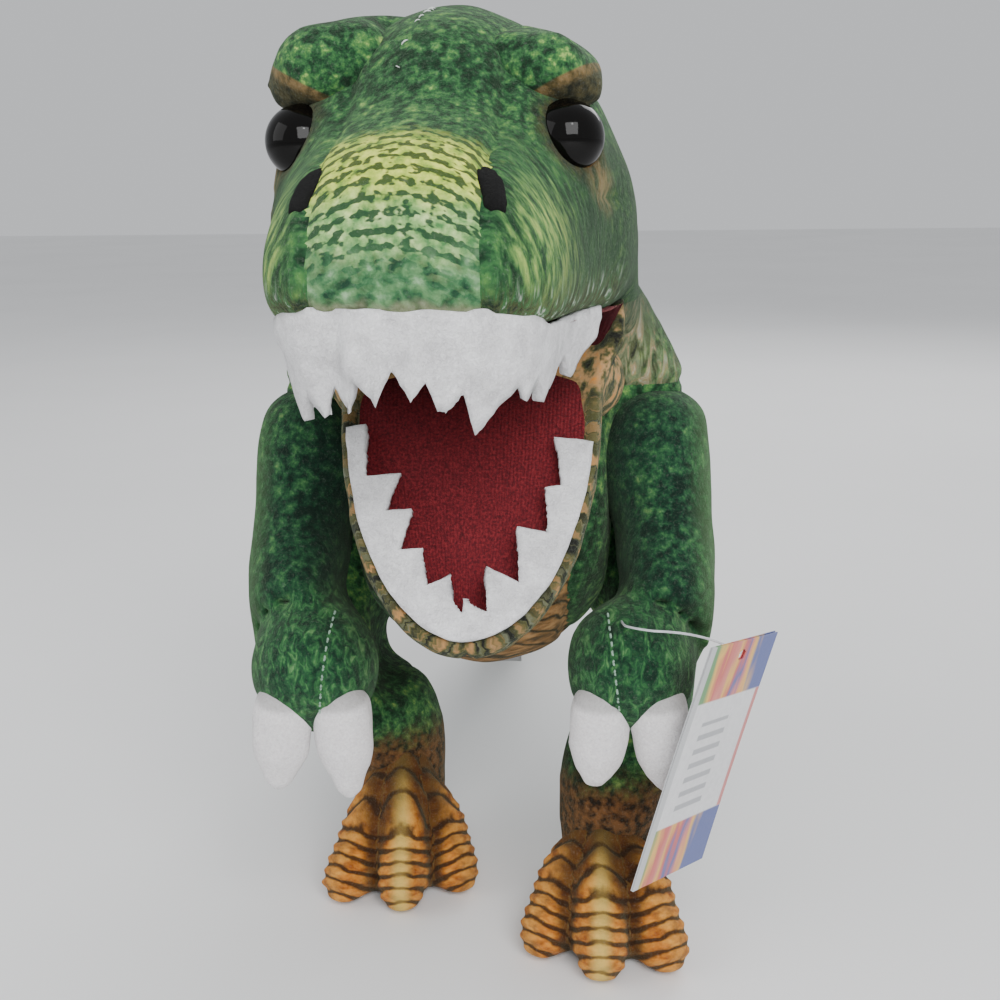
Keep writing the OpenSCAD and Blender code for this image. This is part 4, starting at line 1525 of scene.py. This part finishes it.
def hand_place(points, s, side):
    """Points of a left arm that hangs straight. The left hand sits a little nearer the middle."""
    q = points * (s, 1, 1)
    return q + np.outer(REACH_IN[side] * smoothstep(-q[:, 1], 60, 95), (1, 0, 0))


def hand_seam(z):
    """How far out the seam down the inner quarter of the hand runs at height z."""
    return 50 - 0.12 * (z - 120)


def build_arm(s, side):
    grid = Grid((-100, -140, 80), (100, 0, 222), 4)
    p = hand_place(grid.points, s, side)
    upper = grid.cad(f"arm_stuffing_{side}") - 1.0 + 0.4 * REACH_IN[side] * smoothstep(-p[:, 1], 80, 100)
    upper = join(upper, ball(p, (60, -46, 178), (19, 22, 26)), 6)
    upper = grid.blur(upper, 1)
    upper = carve(upper, ball(p, (59, -112, 116), (30, 40, 27)), 2)
    hand = join(ball(p, HAND, HAND_R), bone(p, (61, -70, 124), (57, -94, 117), 18, 20), 6)
    distance = join(upper, hand, 1.5) + 2.5 * bell(upper - hand, 5.5) * smoothstep(p[:, 2], 116, 130)

    def held(points):
        q = hand_place(points, s, side)
        crease = bell(ball(q, HAND, HAND_R), 2.5) * (q[:, 2] > 130)
        shoulder = smoothstep(-q[:, 0], -50, -46)
        return np.clip(crease + shoulder, 0, 1)

    arm = stuffed(f"arm_cover_{side}", grid, distance, held, cap=3.0, smooth=4)
    q = hand_place(get(arm), s, side)
    seam = bell(q[:, 0] - hand_seam(q[:, 2]), 1.8) * smoothstep(-q[:, 1], 96,
                                                                           104) * (q[:, 2] > 98)
    put(arm, get(arm) - normals(arm) * (0.9 * seam)[:, None])
    wrinkle(arm, 0.4, 11, 40 + s)
    surface = tree(arm)
    finish_piece(arm, "arm")
    q = hand_place(get(arm), s, side)
    note(arm, "hand", smoothstep(-ball(q, HAND, HAND_R + 2), -4, 2))
    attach(arm, f"arm_{side}")
    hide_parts(f"arm_skin_{side}", f"arm_stuffing_{side}")

    path, lifts = [], []
    for z in np.linspace(143, 100, 40):
        place, normal = hit(surface, (s * (hand_seam(z) - REACH_IN[side]), -170, z), (0, 1, 0))
        if place is not None and place[1] < -84:
            path.append(place)
            lifts.append(normal)
    thread = stitches(f"hand_stitches_{side}", np.array(path), np.array(lifts))
    finish_piece(thread, "thread")
    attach(thread, f"arm_{side}")

    for finger, (x, lean) in CLAW_ROOTS.items():
        build_claw(s, side, finger, x, lean)


CLAW_TIPS = {("left", "inner"): -20, ("left", "outer"): -22, ("right", "inner"): -25,
             ("right", "outer"): -22}


def build_claw(s, side, finger, x, lean):
    """A soft stuffed claw, flattened front to back, with a blunt tip."""
    place = turn("X", 10) @ turn("Y", lean)
    root = np.array([x - REACH_IN[side], -108, 105.0])
    grid = Grid((-100, -145, 62), (100, -80, 126), 3)
    local = ((grid.points * (s, 1, 1)) - root) @ place
    flat = local * (1, 1.12, 1)
    form = join(bone(flat, (0, -1, 2), (0, -3, -11), 11.2, 9.6),
                bone(flat, (0, -3, -11), (0, -6, CLAW_TIPS[side, finger]), 9.6, 5.6), 4)

    def held(points):
        return smoothstep(((points * (s, 1, 1) - root) @ place)[:, 2], -4, 4)

    claw = stuffed(f"claw_cover_{finger}_{side}", grid, form, held, cap=1.2, smooth=3)
    q = (get(claw) * (s, 1, 1) - root) @ place
    seam = 0.7 * bell(q[:, 1] + 1, 1.4) * (q[:, 2] < 6)
    put(claw, get(claw) - normals(claw) * seam[:, None])
    wrinkle(claw, 0.2, 7, 60 + int(x) + s)
    finish_piece(claw, "claw")
    q = (get(claw) * (s, 1, 1) - root) @ place
    # root sets the claw's painted shade under the hand
    note(claw, "root", np.maximum(0, 8 - q[:, 2]))
    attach(claw, f"arm_{side}")
    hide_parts(f"claw_{finger}_{side}")


TOES = [(-38, 0.86), (-3, 0.98), (29, 0.97)]             # turn in degrees and length of each toe
ANKLES = {"left": np.array([45, -56]), "right": np.array([36, -12])}
SOLE_Z = 1.2              # height of the seam between foot and sole
FOOT_TOP = {"left": 52, "right": 63}


def toe_frames(points, side, s):
    """Each point in each toe's own frame: across, along and up."""
    flat = points * (s, 1, 1) - np.append(ANKLES[side], 0)
    return [(flat @ turn("Z", angle)) * (1, -1 / length, 1) for angle, length in TOES]


def toe_print(t):
    """Where a point in a toe's frame lies on its print, which runs down the sides and the tip too."""
    across, along, up = t.T
    drop = np.maximum(0, 38 - 0.3 * along - up)
    return np.column_stack([across, along + 1.1 * drop, up])


def toe_form(t):
    """One toe: high at the ankle, sloping to a blunt pointed tip. t is (across, along, up)."""
    squat = 0.72
    t = t * (1, 1, squat)
    spine = [((0, 4, 20), 16.5), ((0, 24, 16), 13.8), ((0, 45, 9.5), 9.0)]
    (a, ra), (b, rb), (c, rc) = [(np.array(p) * (1, 1, squat), r) for p, r in spine]
    return join(bone(t, a, b, ra, rb), bone(t, b, c, rb, rc), 4)


def toe_cloth(points, side, s):
    """For each point: the toe it is on, its place in that toe's frame, and how far the next toe is."""
    frames = toe_frames(points, side, s)
    forms = np.array([toe_form(t) for t in frames])
    order = np.sort(forms, axis=0)
    toe = forms.argmin(axis=0)
    return toe, np.array([frames[m][i] for i, m in enumerate(toe)]), order[1] - order[0]


def build_leg(s, side):
    ankle = ANKLES[side]
    grid = Grid((-96, -130, -4), (96, 76, 186), 4)
    p = grid.points * (s, 1, 1)
    leg = grid.cad(f"leg_stuffing_{side}") - 1.0
    leg = join(leg, ball(p, (58, 22, 128), (26, 36, 36)), 8)
    top = np.append(ankle, 52.0)
    leg = join(leg, bone(p, top + (3, 4, 6), top + (0, 0, -24), 20, 17), 8)
    leg = grid.blur(leg, 1)

    def held(points):
        q = points * (s, 1, 1)
        return np.clip(smoothstep(-q[:, 2], -50, -40) + smoothstep(-q[:, 0], -50, -46) * (q[:, 2] > 80), 0,
                       1)

    shank = stuffed(f"leg_cover_{side}", grid, leg, held, cap=3.0, smooth=4)
    q = get(shank) * (s, 1, 1)
    knee = bell(q[:, 2] - 84 - 0.25 * q[:, 1], 3.0) * smoothstep(-q[:, 1], 0, 20)
    inner = bell(q[:, 1] - 16 + 0.35 * (q[:, 2] - 60), 1.8) * (q[:, 0] < ankle[0])
    put(shank, get(shank) - normals(shank) * (1.3 * knee + 0.8 * inner)[:, None])
    wrinkle(shank, 0.5, 15, 70 + s)
    finish_piece(shank, "leg")
    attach(shank, f"leg_{side}")
    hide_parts(f"leg_skin_{side}", f"leg_stuffing_{side}")

    grid = Grid((-110, -134, -6), (110, 40, 72), 3)
    toes = [toe_form(t) for t in toe_frames(grid.points, side, s)]
    foot = join(join(toes[0], toes[1], 2.2), toes[2], 2.2)
    high = FOOT_TOP[side]
    instep = np.append(ankle, high - 14.0)
    foot = join(foot, bone(grid.points * (s, 1, 1), instep + (0, -10, 0), instep + (0, -18, -14), 13, 16), 8)
    foot = np.maximum(foot, 0.6 - grid.points[:, 2])
    foot = np.maximum(foot, grid.points[:, 2] - high)

    def sole_held(points):
        return np.clip(smoothstep(-points[:, 2], -5, -2)
                       + smoothstep(points[:, 2], FOOT_TOP[side] - 14, FOOT_TOP[side] - 6), 0, 1)

    whole = stuffed("whole_foot", grid, foot, sole_held, cap=2.0, smooth=3)
    points = get(whole)
    _, cloth, between = toe_cloth(points, side, s)
    printed = toe_print(cloth)
    ribs = -0.6 * np.cos(2 * math.pi * (printed[:, 1] + SWEEP * np.abs(printed[:, 0]) + 2) / BAND)
    ribs = ribs * smoothstep(points[:, 2], 2, 8)
    sink = 2.2 * bell(between, 3.0) * smoothstep(cloth[:, 1], 4, 16) * smoothstep(points[:, 2], 3, 12)
    points = points + normals(whole) * (ribs - sink)[:, None]
    points[:, 2] = np.maximum(points[:, 2], 0.2)
    put(whole, points)
    foot = part(whole, f"foot_cover_{side}", lambda c: c[:, 2] >= SOLE_Z)
    toe, cloth, between = toe_cloth(get(foot), side, s)
    finish_piece(foot, "foot")
    note(foot, "cloth", toe_print(cloth))
    note(foot, "middle", toe == 1)
    note(foot, "between", np.where(cloth[:, 1] > 2, between, 9))
    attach(foot, f"leg_{side}")
    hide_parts(f"foot_skin_{side}", f"foot_pellets_{side}")
    sole = part(whole, f"sole_cover_{side}", lambda c: c[:, 2] < SOLE_Z)
    finish_piece(sole, "sole")
    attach(sole, f"leg_{side}")
    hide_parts(f"sole_{side}")
    bpy.data.objects.remove(whole)


# ---- tag, pin and label ----

PIN_ROUTE = [(48, -105, 137.5), (48.3, -108.5, 137.8), (48.9, -111.2, 138), (50.4, -113.2, 138.2),
             (53, -114.8, 138.2), (57.5, -115.8, 137.9), (62.5, -115, 137.3), (67.5, -113.7, 136.3),
             (72.5, -112.5, 134.9), (77.5, -111.4, 133.1), (81.7, -110.7, 131.1), (84.6, -110.2, 129.5),
             (86.65, -110, 128.2)]
PIN_D = 0.8


def build_tag():
    """A folded card with a hole, hung from a clear nylon pin."""
    top, width, height = np.array([88, -110, 133.0]), 45.0, 88.0
    lean, spin = 15.6, 53
    hole_r, hole_drop = 1.8, 5.0
    across = np.concatenate([[-width / 2, -width / 2 + 0.8], np.linspace(-18, 18, 19),
                             [width / 2 - 0.8, width / 2]])
    down = np.concatenate([[0, 0.8], np.linspace(2, height - 2, 36), [height - 0.8, height]])
    frame_turn = turn("Y", lean) @ turn("Z", spin)
    leaves = []
    for leaf, (open_by, shift) in enumerate(((0.0, 0.28), (0.9, -0.28))):
        points, cloth = [], []
        for d in down:
            for a in across:
                near = np.array([a, d - hole_drop])
                reach = np.linalg.norm(near)
                if reach < hole_r * 1.6:
                    near = near / max(reach, 0.05) * (hole_r + (reach / 1.6) * 0.4)
                a2, d2 = near[0], near[1] + hole_drop
                curl = 0.35 * math.sin(math.pi * d2 / height) + 0.25 * (a2 / width) ** 2
                gap = -open_by * ((a2 + width / 2) / width) * (0.4 + 0.6 * d2 / height)
                points.append((a2, shift + curl + gap, -d2))
                cloth.append((a2, d2, leaf))
        rows, columns = len(down), len(across)
        faces = [f for f in sheet_faces(rows, columns)
                 if np.linalg.norm(np.mean([cloth[i][:2] for i in f], axis=0)
                                   - (0, hole_drop)) > hole_r * 0.95]
        leaves.append((np.array(points) @ frame_turn.T + top, faces, cloth))
    card = join_meshes("tag_card", [(p, f) for p, f, _ in leaves])
    note(card, "cloth", np.vstack([c for _, _, c in leaves]))
    thicken(card, 0.4)
    settle(card)
    loose = bmesh.new()
    loose.from_mesh(card.data)
    bmesh.ops.delete(loose, geom=[v for v in loose.verts if not v.link_faces], context="VERTS")
    loose.to_mesh(card.data)
    loose.free()
    shade_smooth(card.data, False)
    finish_piece(card, "card")
    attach(card, "tag")
    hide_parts("hang_tag")


def build_pin():
    """The clear nylon filament between the hand and the card."""
    curve = bpy.data.curves.new("nylon_pin", "CURVE")
    curve.dimensions = "3D"
    curve.bevel_depth = PIN_D / 2 * MM
    curve.bevel_resolution = 4
    curve.use_fill_caps = True
    line = curve.splines.new("POLY")
    route = spline(PIN_ROUTE, 60)
    line.points.add(len(route) - 1)
    for spot, p in zip(line.points, metres(route)):
        spot.co = (*p, 1)
    curve.materials.append(MATERIALS["nylon"])
    pin = place_object("nylon_pin", curve)
    length = steps(metres(route)).sum()
    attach(pin, "arm_left")
    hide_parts("tag_pin")
    metres(PIN_ROUTE[0])


def build_label():
    """A blank folded satin tab in the seam under the tail."""
    low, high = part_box("care_label")
    low, high = millimetres(low), millimetres(high)
    rows, columns = 16, 9
    middle = (low[1] + high[1]) / 2
    points = []
    for k in range(rows):
        drop = k / (rows - 1)
        for x in np.linspace(low[0], high[0], columns):
            points.append((x, middle + 1.2 * math.sin(drop * 2.4) + 0.4 * math.sin(x * 0.3),
                           high[2] - drop * (high[2] - low[2])))
    label = make("care_label_tab", points, sheet_faces(rows, columns))
    thicken(label, 0.5)
    settle(label)
    finish_piece(label, "satin")
    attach(label, "torso")
    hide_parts("care_label")


def build_lint(surface):
    """A few white specks of lint along the crown."""
    made = []
    for x, y, size in [(-3, -118, 0.8), (-2.2, -121, 0.6), (-2.8, -125, 0.7), (-3.5, -130, 0.6),
                       (-4.0, -133, 0.5), (-6.0, -141, 0.7), (-7.0, -146, 0.5), (-30, -125, 0.5)]:
        start = from_head((x, y, 360))
        place, normal = hit(surface, start, (0, 0, -1))
        if place is None:
            continue
        side = np.cross(normal, rng.normal(size=3))
        side /= np.linalg.norm(side)
        bend = np.linspace(-1, 1, 7)[:, None]
        path = place + normal * (0.5 - 0.35 * bend ** 2) + side * bend * size * 1.6
        made.append(tube("", path, size * 0.35 * (1 - 0.6 * bend[:, 0] ** 2), 6))
    lint = join_meshes("crown_lint", made)
    finish_piece(lint, "lint")
    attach(lint, "head")


# ---- the toy ----

add_camera()
build_pin()
body_surface = build_body()
build_brows()
build_eyes()
build_nostrils(body_surface)
lip = Lip(body_surface)
build_upper_teeth(lip)
build_jaw()
build_lower_teeth()
build_lining(lip)
for sign, side in SIDES:
    build_arm(sign, side)
    build_leg(sign, side)
build_tag()
build_label()
build_lint(body_surface)


# ---- floor and light ----

def add_floor():
    size = 6.0
    mesh = bpy.data.meshes.new("floor")
    mesh.from_pydata([(x * size, y * size, 0) for x, y in ((-1, -1), (1, -1), (1, 1), (-1, 1))], [],
                     [(0, 1, 2, 3)])
    mesh.materials.append(floor_material())
    floor = place_object("floor", mesh)


def add_light(name, place, aim, power, size):
    data = bpy.data.lights.new(name, "AREA")
    data.energy, data.size = power, size
    light = place_object(name, data)
    light.location = place
    light.rotation_mode = "QUATERNION"
    light.rotation_quaternion = (Vector(aim) - Vector(place)).to_track_quat("-Z", "Y")


def add_world(strength):
    world = bpy.data.worlds.new("world")
    world.use_nodes = True
    world.node_tree.nodes["Background"].inputs["Color"].default_value = (0.95, 0.97, 1.0, 1)
    world.node_tree.nodes["Background"].inputs["Strength"].default_value = strength
    bpy.context.scene.world = world


add_floor()
add_light("key", (0.3, -1.25, 0.85), (0, -0.1, 0.2), 19, 0.8)
add_light("glint", (0.28, -1.0, 1.0), (0, -0.14, 0.28), 0.8, 0.1)
add_light("fill", (-1.2, -0.6, 0.8), (0, -0.1, 0.15), 6, 1.0)
add_light("back", (0.5, 1.2, 1.2), (0, 0, 0.15), 12, 1.0)
add_world(0.68)
